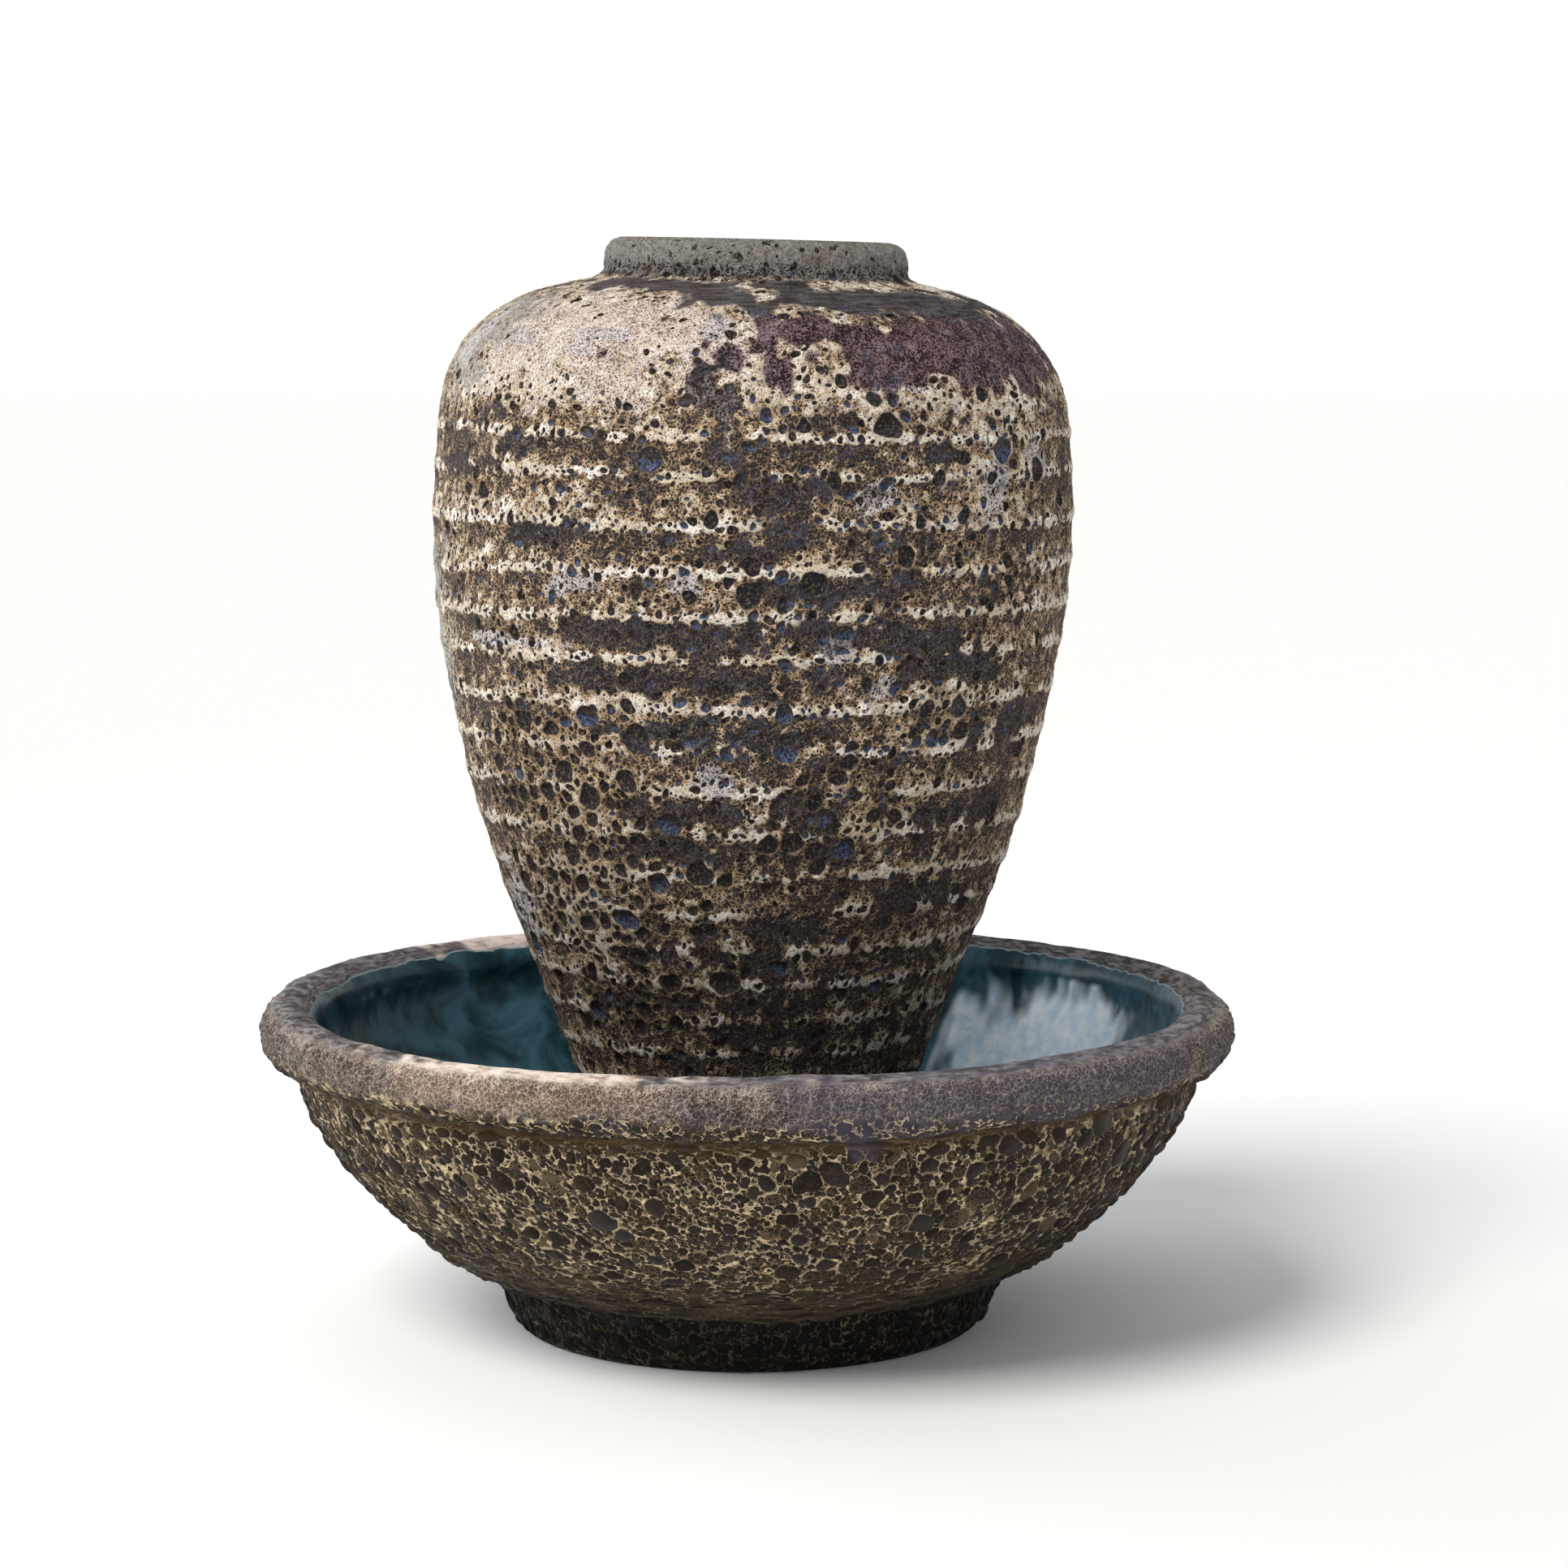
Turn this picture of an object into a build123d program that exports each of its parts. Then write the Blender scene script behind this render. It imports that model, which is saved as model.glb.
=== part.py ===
from build123d import *
import os

# Jar fountain: a ribbed ceramic jar stands on a ring pedestal in a glazed basin. A pump under the
# jar lifts the water through a pipe to the mouth, and it runs down the ribs into the basin.
# Millimetres, +Z up, origin on the ground at the centre of the foot ring, viewer on the -Y side.

# Clearances
running_gap = 0.05
push_gap = 0.15
sliding_gap = 0.3
cut_overrun = 2.0

# Basin
basin_radius = 425.0
basin_height = 290.0
rim_bead_radius = 25.0
rim_cove_radius = 7.0
bowl_wall = 26.0
bowl_floor = 26.0
floor_flat_radius = 190.0
foot_height = 55.0
foot_radius = 204.0
foot_top_radius = 225.0
foot_ledge = 3.0
foot_inner_radius = 172.0
foot_edge_radius = 8.0
foot_hollow_height = 60.0
cord_notch_width = 30.0
cord_notch_height = 28.0
bowl_outline_shares = ((0.21, 0.08), (0.38, 0.19), (0.64, 0.39), (0.83, 0.59), (0.96, 0.82))
bowl_inside_shares = (0.25, 0.45, 0.65, 0.82)

# Drain and its stopper
drain_radius = 20.0
drain_offset = 80.0
stopper_flange_radius = 26.0
stopper_flange = 5.0
stopper_taper = 2.5
stopper_reach = 6.0
stopper_grip_radius = 9.0
stopper_grip = 8.0
cord_bore_radius = 3.6

# Jar
jar_height = 743.0
jar_base_radius = 147.0
belly_radius = 281.0
jar_wall = 17.0
jar_floor = 20.0
collar_radius = 131.0
collar_height = 34.0
collar_foot = 9.0
mouth_radius = 107.0
lip_radius = 9.0
jar_outline_shares = (
    (0.630, 0.115),
    (0.801, 0.294),
    (0.925, 0.475),
    (0.993, 0.655),
    (0.984, 0.806),
    (0.915, 0.910),
    (0.751, 0.970),
)
jar_inside_shares = (0.12, 0.26, 0.40, 0.54, 0.67, 0.77, 0.86)
rib_radius = 8.0
rib_rise = 2.6
rib_height_shares = (
    0.012, 0.042, 0.082, 0.122, 0.167, 0.207, 0.250, 0.293, 0.341,
    0.390, 0.437, 0.486, 0.541, 0.588, 0.638, 0.689, 0.742, 0.786,
)

# Pedestal and pads
pad_thickness = 3.0
pad_length = 34.0
pad_width = 14.0
pedestal_radius = 140.0
pedestal_wall = 20.0
arch_count = 4
arch_width = 64.0
arch_height = 62.0

# Pump housing on its suction cups
pump_width = 64.0
pump_height = 56.0
pump_corner = 8.0
motor_length = 66.0
cooling_groove = 4.0
cooling_groove_depth = 2.5
cooling_groove_count = 6
cooling_groove_spacing = 9.0
cooling_groove_height = 38.0
rotor_well_radius = 13.0
rotor_well_depth = 46.0
cup_height = 8.0
cup_radius = 10.0
cup_top_radius = 5.0
cup_rim = 1.5
cup_hollow = 2.5
cup_peg_radius = 3.0
cup_peg = 5.0
cup_side_inset = 11.0
cup_end_inset = 13.0

# Pump chamber, its outlet and intake
chamber_radius = 26.0
chamber_wall = 3.0
outlet_collar_radius = 11.5
outlet_collar_margin = 0.5
outlet_rise = 4.0
spigot_radius = 9.4
spigot_length = 16.0
water_bore_radius = 7.0
flange_thickness = 3.0
port_count = 3
port_radius = 3.6
port_circle = 10.0
hub_radius = 5.5
hub_rise = 3.0
seal_inner_radius = 23.5
seal_width = 2.5
seal_thickness = 1.6
screw_radius = 1.5
screw_head_radius = 2.8
screw_head = 2.0
screw_length = 14.0
screw_inset = 5.5

# Rotor
shaft_radius = 1.5
bush_radius = 3.2
bush_length = 5.0
bush_end = 1.0
rear_bush_rise = 2.0
axial_play = 0.5
magnet_gap = 1.5
magnet_setback = 2.0
impeller_radius = 19.0
impeller_hub_radius = 5.5
impeller_disc = 1.5
impeller_disc_setback = 3.0
vane_count = 6
vane_thickness = 1.6
vane_depth = 12.0

# Strainer and flow dial
strainer_wall = 2.0
strainer_length = 26.0
strainer_lap = 6.0
strainer_edge = 1.2
side_slot_count = 20
side_slot = 3.0
side_slot_margin = 4.0
front_slot_count = 12
front_slot = 2.4
front_slot_inner = 12.5
front_slot_outer = 23.5
dial_stem_radius = 3.0
shutter_radius = 15.0
shutter_thickness = 2.0
dial_radius = 9.5
dial_thickness = 3.0
dial_grip = 4.0
dial_grip_thickness = 3.2

# Cord gland
gland_radius = 6.0
gland_depth = 8.0
gland_flange_radius = 8.5
gland_flange = 3.0
gland_root_radius = 6.5
gland_tip_radius = 5.0
gland_length = 18.0

# Fitting in the jar's floor
tail_gap = 4.0
tail_length = 18.0
tail_radius = 8.7
tail_barb_count = 3
nut_thickness = 10.0
nut_flats = 38.0
gasket_thickness = 3.0
gasket_radius = 24.0
fitting_thread_radius = 13.0
fitting_hole_gap = 1.0
fitting_flange = 6.0
socket_radius = 15.0
socket_depth = 20.0
socket_seat = 4.0

# Riser pipe and delivery hose
riser_radius = 10.7
riser_wall = 2.3
riser_drop = 22.0
hose_wall = 3.2
hose_end_gap = 2.0
clamp_width = 9.0
clamp_band = 1.0
clamp_inset = 3.0
clamp_box_length = 13.0
clamp_box_height = 7.0
clamp_screw_radius = 2.2
clamp_screw_head_radius = 3.6
clamp_screw_head = 4.0
clamp_screw_tip = 3.0

# Heights that follow from the stack under the jar
floor_z = foot_hollow_height + bowl_floor
pump_axis_z = floor_z + cup_height + pump_height / 2
outlet_shoulder_z = pump_axis_z + chamber_radius + outlet_rise
spigot_top_z = outlet_shoulder_z + spigot_length
tail_bottom_z = spigot_top_z + tail_gap
nut_bottom_z = tail_bottom_z + tail_length
hose_top_z = nut_bottom_z - hose_end_gap
jar_base_z = nut_bottom_z + nut_thickness + gasket_thickness
jar_floor_z = jar_base_z + jar_floor
jar_top_z = jar_base_z + jar_height
neck_foot_z = jar_top_z - collar_height
fitting_seat_z = jar_floor_z + gasket_thickness
pipe_seat_z = fitting_seat_z + socket_seat
socket_top_z = pipe_seat_z + socket_depth
pedestal_bottom_z = floor_z + pad_thickness
pedestal_top_z = jar_base_z - pad_thickness

# Distances along the pump's axis, forward (towards -Y) from the axis of its outlet
chamber_rear = -outlet_collar_radius - outlet_collar_margin
strainer_rear = outlet_collar_radius + outlet_collar_margin
chamber_front = strainer_rear + strainer_lap
strainer_front = strainer_rear + strainer_length
chamber_hub_rear = chamber_front - chamber_wall - hub_rise
motor_rear = chamber_rear - motor_length
well_bottom = chamber_rear - rotor_well_depth
rear_bush_front = well_bottom + rear_bush_rise
magnet_front = chamber_rear - magnet_setback

# Across the pump's axis, and along it with the axis as the sketch's X
pump_plane = Plane(origin=(0, 0, pump_axis_z), x_dir=(1, 0, 0), z_dir=(0, -1, 0))
shaft_plane = Plane(origin=(0, 0, pump_axis_z), x_dir=(0, -1, 0), z_dir=(-1, 0, 0))
shaft_axis = Axis((0, 0, pump_axis_z), (0, -1, 0))


def inside(line, thickness, shares):
    """Points at a wall's thickness to the left of an outline that is followed upwards."""
    points = []
    for share in shares:
        along = line % share
        points.append(line @ share + Vector(-along.Y, along.X) * thickness)
    return points


def share_at(line, height, reach):
    """Share of an outline's length at which it crosses a height, within a reach from the axis."""
    crossing = line.intersect(Line((0, height), (reach, height)))[0]
    return line.param_at_point(crossing)


def arch(bottom, width, height):
    """Sketch of a round-topped opening that runs out below its foot."""
    side = height - width / 2
    with Locations((0, bottom + (side - cut_overrun) / 2)):
        Rectangle(width, side + cut_overrun)
    with Locations((0, bottom + side)):
        Circle(width / 2)


def sleeve(rear, front, inner, outer):
    """Half section of a round sleeve along the pump's axis."""
    with Locations((rear, inner)):
        Rectangle(front - rear, outer - inner, align=Align.MIN)


def ring(height, inner, outer, depth):
    """Upright ring around the jar's axis, from the given height upwards."""
    with BuildPart() as upright_ring:
        with BuildSketch(Plane.XY.offset(height)):
            Circle(outer)
            Circle(inner, mode=Mode.SUBTRACT)
        extrude(amount=depth)
    return upright_ring


def leg_pads(height):
    """One flat pad on the middle of each pedestal leg, from the given height upwards."""
    with BuildPart() as pads:
        with BuildSketch(Plane.XY.offset(height)):
            with PolarLocations(pedestal_radius - pedestal_wall / 2, arch_count, 180 / arch_count):
                Rectangle(pad_width, pad_length)
        extrude(amount=pad_thickness)
    return pads


# Bowl and foot ring in one piece. The outline runs from the foot's ledge into the rim's bead.
bead_centre = (basin_radius - rim_bead_radius, basin_height - rim_bead_radius)
bowl_start = (foot_top_radius + foot_ledge, foot_height)
bowl_run = bead_centre[0] - bowl_start[0]
bowl_rise = bead_centre[1] - bowl_start[1]
bowl_line = Spline(
    bowl_start,
    *[(bowl_start[0] + bowl_run * run, bowl_start[1] + bowl_rise * rise)
      for run, rise in bowl_outline_shares],
    bead_centre,
)

with BuildPart() as basin:
    with BuildSketch(Plane.XZ) as basin_section:
        with BuildLine():
            add(bowl_line)
            bowl_inside_line = Spline(
                (floor_flat_radius, floor_z),
                *inside(bowl_line, bowl_wall, bowl_inside_shares),
                (bead_centre[0] - rim_bead_radius, bead_centre[1]),
                tangents=((1, 0), (0, 1)),
            )
            Line(bowl_inside_line @ 1, bead_centre)
            Polyline(
                bowl_inside_line @ 0,
                (0, floor_z),
                (0, foot_hollow_height),
                (foot_inner_radius, foot_hollow_height),
                (foot_inner_radius, 0),
                (foot_radius, 0),
                (foot_top_radius, foot_height),
                bowl_start,
            )
        make_face()
        with Locations(bead_centre):
            Circle(rim_bead_radius)
        bead_corners = basin_section.vertices().sort_by_distance(bead_centre)[:2]
        fillet(bead_corners.sort_by(Axis.Y)[0], rim_cove_radius)
    revolve(axis=Axis.Z)
    ground_edges = basin.edges().filter_by(GeomType.CIRCLE).group_by(Axis.Z)[0]
    fillet(ground_edges.sort_by(SortBy.RADIUS)[-1], foot_edge_radius)
    with BuildSketch(Plane.XZ.offset(-foot_inner_radius / 2)):
        arch(0, cord_notch_width, cord_notch_height)
    extrude(amount=-foot_top_radius, mode=Mode.SUBTRACT)
    with Locations((-drain_offset, 0, floor_z)):
        Hole(drain_radius, depth=bowl_floor + cut_overrun)

with BuildPart() as drain_stopper:
    plug_radius = drain_radius - sliding_gap
    plug_bottom_z = foot_hollow_height - stopper_reach
    with BuildSketch(Plane.XZ):
        with BuildLine():
            Polyline(
                (cord_bore_radius - drain_offset, plug_bottom_z),
                (plug_radius - stopper_taper - drain_offset, plug_bottom_z),
                (plug_radius - drain_offset, floor_z),
                (stopper_flange_radius - drain_offset, floor_z),
                (stopper_flange_radius - drain_offset, floor_z + stopper_flange),
                (stopper_grip_radius - drain_offset, floor_z + stopper_flange),
                (stopper_grip_radius - drain_offset, floor_z + stopper_flange + stopper_grip),
                (cord_bore_radius - drain_offset, floor_z + stopper_flange + stopper_grip),
                close=True,
            )
        make_face()
    revolve(axis=Axis((-drain_offset, 0, 0), (0, 0, 1)))

# Jar, thrown with ribs that lie a little unevenly. The outline runs from the base to the collar.
jar_line = Spline(
    (jar_base_radius, jar_base_z),
    *[(belly_radius * out, jar_base_z + (neck_foot_z - jar_base_z) * up)
      for out, up in jar_outline_shares],
    (collar_radius + collar_foot, neck_foot_z),
)
rib_places = [
    share_at(jar_line, jar_base_z + jar_height * share, 2 * belly_radius)
    for share in rib_height_shares
]

with BuildPart() as jar:
    with BuildSketch(Plane.XZ) as jar_section:
        with BuildLine():
            add(jar_line)
            Polyline(
                jar_line @ 1,
                (collar_radius, neck_foot_z + collar_foot / 2),
                (collar_radius, jar_top_z),
                (mouth_radius, jar_top_z),
                (mouth_radius, neck_foot_z - jar_wall),
            )
            cavity_line = Spline(
                (jar_base_radius - jar_wall, jar_floor_z),
                *inside(jar_line, jar_wall, jar_inside_shares),
                (mouth_radius, neck_foot_z - jar_wall),
            )
            Polyline(cavity_line @ 0, (0, jar_floor_z), (0, jar_base_z), jar_line @ 0)
        make_face()
        fillet(jar_section.vertices().group_by(Axis.Y)[-1], lip_radius)
        with Locations(*inside(jar_line, rib_radius - rib_rise, rib_places)):
            Circle(rib_radius)
    revolve(axis=Axis.Z)
    with Locations((0, 0, jar_floor_z)):
        Hole(fitting_thread_radius + fitting_hole_gap, depth=jar_floor + cut_overrun)

# Pedestal with an arch to each side, and a rubber pad under and over each of its legs
pedestal_bore = pedestal_radius - pedestal_wall
pedestal_rise = pedestal_top_z - pedestal_bottom_z

with BuildPart() as pedestal:
    add(ring(pedestal_bottom_z, pedestal_bore, pedestal_radius, pedestal_rise).part)
    for turn in range(arch_count // 2):
        with BuildSketch(Plane.XZ.rotated((0, 0, turn * 360 / arch_count))):
            arch(pedestal_bottom_z, arch_width, arch_height)
        extrude(amount=pedestal_radius + cut_overrun, both=True, mode=Mode.SUBTRACT)

pedestal_pads = leg_pads(floor_z)
seat_pads = leg_pads(pedestal_top_z)

# Fitting through the jar's floor: hose tail below, flange and pipe socket above
with BuildPart() as bulkhead_fitting:
    barb_pitch = tail_length / tail_barb_count
    barbs = []
    for index in range(tail_barb_count):
        barb_z = tail_bottom_z + barb_pitch * index
        barbs.append((tail_radius, barb_z))
        barbs.append((spigot_radius, barb_z + barb_pitch / 2))
        barbs.append((tail_radius, barb_z + barb_pitch / 2))
    with BuildSketch(Plane.XZ):
        with BuildLine():
            Polyline(
                (water_bore_radius, tail_bottom_z),
                *barbs,
                (tail_radius, nut_bottom_z),
                (fitting_thread_radius, nut_bottom_z),
                (fitting_thread_radius, fitting_seat_z),
                (gasket_radius, fitting_seat_z),
                (gasket_radius, fitting_seat_z + fitting_flange),
                (socket_radius, fitting_seat_z + fitting_flange),
                (socket_radius, socket_top_z),
                (riser_radius + push_gap, socket_top_z),
                (riser_radius + push_gap, pipe_seat_z),
                (water_bore_radius, pipe_seat_z),
                close=True,
            )
        make_face()
    revolve(axis=Axis.Z)

gasket_bore = fitting_thread_radius + push_gap
inner_gasket = ring(jar_floor_z, gasket_bore, gasket_radius, gasket_thickness)
outer_gasket = ring(nut_bottom_z + nut_thickness, gasket_bore, gasket_radius, gasket_thickness)

with BuildPart() as fitting_nut:
    with BuildSketch(Plane.XY.offset(nut_bottom_z)):
        RegularPolygon(nut_flats / 2, 6, major_radius=False)
        Circle(gasket_bore, mode=Mode.SUBTRACT)
    extrude(amount=nut_thickness)

riser_rise = jar_top_z - riser_drop - pipe_seat_z
riser_pipe = ring(pipe_seat_z, riser_radius - riser_wall, riser_radius, riser_rise)

# Delivery hose from the pump's spigot to the fitting's tail, with a worm clamp at each end
hose_bore_radius = spigot_radius + sliding_gap
hose_radius = hose_bore_radius + hose_wall
clamp_inner_radius = hose_radius + push_gap
clamp_radius = clamp_inner_radius + clamp_band
clamp_box_x = clamp_radius + clamp_box_height / 2
clamp_heights = (
    outlet_shoulder_z + clamp_inset + clamp_width / 2,
    hose_top_z - clamp_inset - clamp_width / 2,
)
band_places = [(0, 0, height) for height in clamp_heights]
box_places = [(clamp_box_x, 0, height) for height in clamp_heights]

hose_rise = hose_top_z - outlet_shoulder_z
delivery_hose = ring(outlet_shoulder_z, hose_bore_radius, hose_radius, hose_rise)

with BuildPart() as hose_clamps:
    with Locations(*band_places):
        Cylinder(clamp_radius, clamp_width)
    with Locations(*box_places):
        Box(clamp_box_height + clamp_band, clamp_box_length, clamp_width)
        Cylinder(
            clamp_screw_radius + push_gap,
            clamp_box_length + cut_overrun,
            rotation=(90, 0, 0),
            mode=Mode.SUBTRACT,
        )
    with Locations(*band_places):
        Cylinder(clamp_inner_radius, clamp_width + cut_overrun, mode=Mode.SUBTRACT)

with BuildPart() as clamp_screws:
    screw_places = [(clamp_box_x, height) for height in clamp_heights]
    with BuildSketch(Plane.XZ.offset(clamp_box_length / 2)):
        with Locations(*screw_places):
            Circle(clamp_screw_radius)
    extrude(amount=-clamp_box_length - clamp_screw_tip)
    with BuildSketch(Plane.XZ.offset(clamp_box_length / 2)):
        with Locations(*screw_places):
            RegularPolygon(clamp_screw_head_radius, 6)
    extrude(amount=clamp_screw_head)

# Pump housing: a potted motor block with the rotor's well in its front
screw_columns = pump_width - 2 * screw_inset
screw_rows = pump_height - 2 * screw_inset
cup_places = [
    (side * (pump_width / 2 - cup_side_inset), -along, floor_z)
    for side in (-1, 1)
    for along in (chamber_rear - cup_end_inset, motor_rear + cup_end_inset)
]

with BuildPart() as pump_housing:
    with BuildSketch(pump_plane.offset(chamber_rear)):
        RectangleRounded(pump_width, pump_height, pump_corner)
    extrude(amount=-motor_length)
    with BuildSketch(shaft_plane):
        sleeve(well_bottom, chamber_rear, 0, rotor_well_radius)
        sleeve(rear_bush_front - bush_length, well_bottom, 0, bush_radius + push_gap)
        sleeve(motor_rear, motor_rear + gland_depth, 0, gland_radius + push_gap)
        seal_outer_radius = seal_inner_radius + seal_width
        sleeve(chamber_rear - seal_thickness, chamber_rear, seal_inner_radius, seal_outer_radius)
    revolve(axis=shaft_axis, mode=Mode.SUBTRACT)
    with BuildSketch(pump_plane.offset(chamber_rear)):
        with GridLocations(screw_columns, screw_rows, 2, 2):
            Circle(screw_radius + push_gap)
    extrude(amount=flange_thickness - screw_length, mode=Mode.SUBTRACT)
    middle_y = -(chamber_rear + motor_rear) / 2
    for side in (-1, 1):
        with Locations((side * pump_width / 2, middle_y, pump_axis_z)):
            with GridLocations(0, cooling_groove_spacing, 1, cooling_groove_count):
                Box(
                    2 * cooling_groove_depth,
                    cooling_groove,
                    cooling_groove_height,
                    mode=Mode.SUBTRACT,
                )
    with Locations(*cup_places):
        Cylinder(
            cup_peg_radius + push_gap,
            cup_height + cup_peg,
            align=(Align.CENTER, Align.CENTER, Align.MIN),
            mode=Mode.SUBTRACT,
        )

with BuildPart() as suction_cups:
    upright = (Align.CENTER, Align.CENTER, Align.MIN)
    with Locations(*cup_places):
        Cone(cup_radius, cup_top_radius, cup_height, align=upright)
        Cylinder(cup_peg_radius, cup_height + cup_peg, align=upright)
        Cone(cup_radius - cup_rim, cup_rim, cup_hollow, align=upright, mode=Mode.SUBTRACT)

with BuildPart() as cord_gland:
    with BuildSketch(shaft_plane):
        with BuildLine():
            Polyline(
                (motor_rear + gland_depth, cord_bore_radius),
                (motor_rear + gland_depth, gland_radius),
                (motor_rear, gland_radius),
                (motor_rear, gland_flange_radius),
                (motor_rear - gland_flange, gland_flange_radius),
                (motor_rear - gland_flange, gland_root_radius),
                (motor_rear - gland_flange - gland_length, gland_tip_radius),
                (motor_rear - gland_flange - gland_length, cord_bore_radius),
                close=True,
            )
        make_face()
    revolve(axis=shaft_axis)

with BuildPart() as chamber_seal:
    with BuildSketch(shaft_plane):
        sleeve(chamber_rear - seal_thickness, chamber_rear, seal_inner_radius, seal_outer_radius)
    revolve(axis=shaft_axis)

with BuildPart() as chamber_screws:
    with BuildSketch(pump_plane.offset(chamber_rear + flange_thickness)):
        with GridLocations(screw_columns, screw_rows, 2, 2):
            Circle(screw_radius)
    extrude(amount=-screw_length)
    with BuildSketch(pump_plane.offset(chamber_rear + flange_thickness)):
        with GridLocations(screw_columns, screw_rows, 2, 2):
            Circle(screw_head_radius)
    extrude(amount=screw_head)

# Pump chamber: round volute on a square flange, intake ports in front, outlet spigot on top
with BuildPart() as pump_chamber:
    with BuildSketch(pump_plane.offset(chamber_rear)):
        RectangleRounded(pump_width, pump_height, pump_corner)
    extrude(amount=flange_thickness)
    with BuildSketch(pump_plane.offset(chamber_rear)):
        Circle(chamber_radius)
    extrude(amount=chamber_front - chamber_rear)
    with BuildSketch(Plane.XY.offset(pump_axis_z)):
        Circle(outlet_collar_radius)
    extrude(amount=outlet_shoulder_z - pump_axis_z)
    with BuildSketch(Plane.XY.offset(pump_axis_z)):
        Circle(spigot_radius)
    extrude(amount=spigot_top_z - pump_axis_z)
    with BuildSketch(pump_plane.offset(chamber_rear)):
        Circle(chamber_radius - chamber_wall)
    extrude(amount=chamber_front - chamber_wall - chamber_rear, mode=Mode.SUBTRACT)
    with BuildSketch(Plane.XY.offset(pump_axis_z)):
        Circle(water_bore_radius)
    extrude(amount=spigot_top_z - pump_axis_z, mode=Mode.SUBTRACT)
    with BuildSketch(pump_plane.offset(chamber_hub_rear)):
        Circle(hub_radius)
    extrude(amount=hub_rise)
    with BuildSketch(pump_plane.offset(chamber_hub_rear)):
        Circle(bush_radius + push_gap)
    extrude(amount=bush_length, mode=Mode.SUBTRACT)
    with BuildSketch(pump_plane.offset(chamber_front)):
        with PolarLocations(port_circle, port_count):
            Circle(port_radius)
    extrude(amount=-chamber_wall, mode=Mode.SUBTRACT)
    with BuildSketch(pump_plane.offset(chamber_rear)):
        with GridLocations(screw_columns, screw_rows, 2, 2):
            Circle(screw_radius + push_gap)
    extrude(amount=flange_thickness, mode=Mode.SUBTRACT)

# Rotor on a fixed ceramic shaft between two blind bushes
with BuildPart() as rotor_shaft:
    with BuildSketch(shaft_plane):
        shaft_rear = rear_bush_front - bush_length + bush_end
        shaft_front = chamber_hub_rear + bush_length - bush_end
        sleeve(shaft_rear, shaft_front, 0, shaft_radius)
    revolve(axis=shaft_axis)

with BuildPart() as front_bush:
    with BuildSketch(shaft_plane):
        sleeve(chamber_hub_rear, shaft_front, shaft_radius + running_gap, bush_radius)
        sleeve(shaft_front, chamber_hub_rear + bush_length, 0, bush_radius)
    revolve(axis=shaft_axis)

with BuildPart() as rear_bush:
    with BuildSketch(shaft_plane):
        sleeve(shaft_rear, rear_bush_front, shaft_radius + running_gap, bush_radius)
        sleeve(rear_bush_front - bush_length, shaft_rear, 0, bush_radius)
    revolve(axis=shaft_axis)

with BuildPart() as rotor_magnet:
    with BuildSketch(shaft_plane):
        magnet_rear = rear_bush_front + axial_play
        sleeve(magnet_rear, magnet_front, shaft_radius + running_gap, rotor_well_radius - magnet_gap)
    revolve(axis=shaft_axis)

with BuildPart() as impeller:
    disc_rear = chamber_rear + impeller_disc_setback
    with BuildSketch(pump_plane.offset(disc_rear)):
        Circle(impeller_radius)
    extrude(amount=impeller_disc)
    with BuildSketch(pump_plane.offset(disc_rear)):
        with PolarLocations(impeller_radius / 2, vane_count):
            Rectangle(impeller_radius, vane_thickness)
        Circle(impeller_radius, mode=Mode.INTERSECT)
    extrude(amount=impeller_disc + vane_depth)
    with BuildSketch(shaft_plane):
        sleeve(magnet_front, chamber_hub_rear - axial_play, 0, impeller_hub_radius)
    revolve(axis=shaft_axis)
    with BuildSketch(shaft_plane):
        sleeve(magnet_front, chamber_hub_rear, 0, shaft_radius + running_gap)
    revolve(axis=shaft_axis, mode=Mode.SUBTRACT)

# Strainer: slotted cup pushed over the chamber, with the flow dial's stem through its middle
strainer_inner_radius = chamber_radius + push_gap
strainer_radius = strainer_inner_radius + strainer_wall
front_slot_length = front_slot_outer - front_slot_inner

with BuildPart() as strainer_grille:
    with BuildSketch(pump_plane.offset(strainer_rear)):
        Circle(strainer_radius)
    extrude(amount=strainer_length)
    fillet(strainer_grille.edges().sort_by(Axis.Y)[0], strainer_edge)
    with BuildSketch(pump_plane.offset(strainer_rear)):
        Circle(strainer_inner_radius)
    extrude(amount=strainer_length - strainer_wall, mode=Mode.SUBTRACT)
    side_slot_rear = chamber_front + side_slot_margin
    side_slot_length = strainer_front - strainer_wall - side_slot_margin - side_slot_rear
    with BuildSketch(pump_plane.offset(side_slot_rear)):
        with PolarLocations(strainer_radius, side_slot_count):
            Rectangle(2 * strainer_wall + cut_overrun, side_slot)
    extrude(amount=side_slot_length, mode=Mode.SUBTRACT)
    with BuildSketch(pump_plane.offset(strainer_front)):
        with PolarLocations((front_slot_inner + front_slot_outer) / 2, front_slot_count):
            SlotOverall(front_slot_length, front_slot)
        Circle(dial_stem_radius + running_gap)
    extrude(amount=-strainer_wall, mode=Mode.SUBTRACT)

with BuildPart() as flow_dial:
    shutter_rear = chamber_front + sliding_gap
    knob_rear = strainer_front + sliding_gap
    with BuildSketch(pump_plane.offset(shutter_rear)):
        Circle(shutter_radius)
        with PolarLocations(port_circle, port_count):
            Circle(port_radius, mode=Mode.SUBTRACT)
    extrude(amount=shutter_thickness)
    with BuildSketch(shaft_plane):
        sleeve(shutter_rear, knob_rear, 0, dial_stem_radius)
        sleeve(knob_rear, knob_rear + dial_thickness, 0, dial_radius)
    revolve(axis=shaft_axis)
    with BuildSketch(pump_plane.offset(knob_rear)):
        Rectangle(dial_grip_thickness, 2 * dial_radius)
        Circle(dial_radius, mode=Mode.INTERSECT)
    extrude(amount=dial_thickness + dial_grip)

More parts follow.
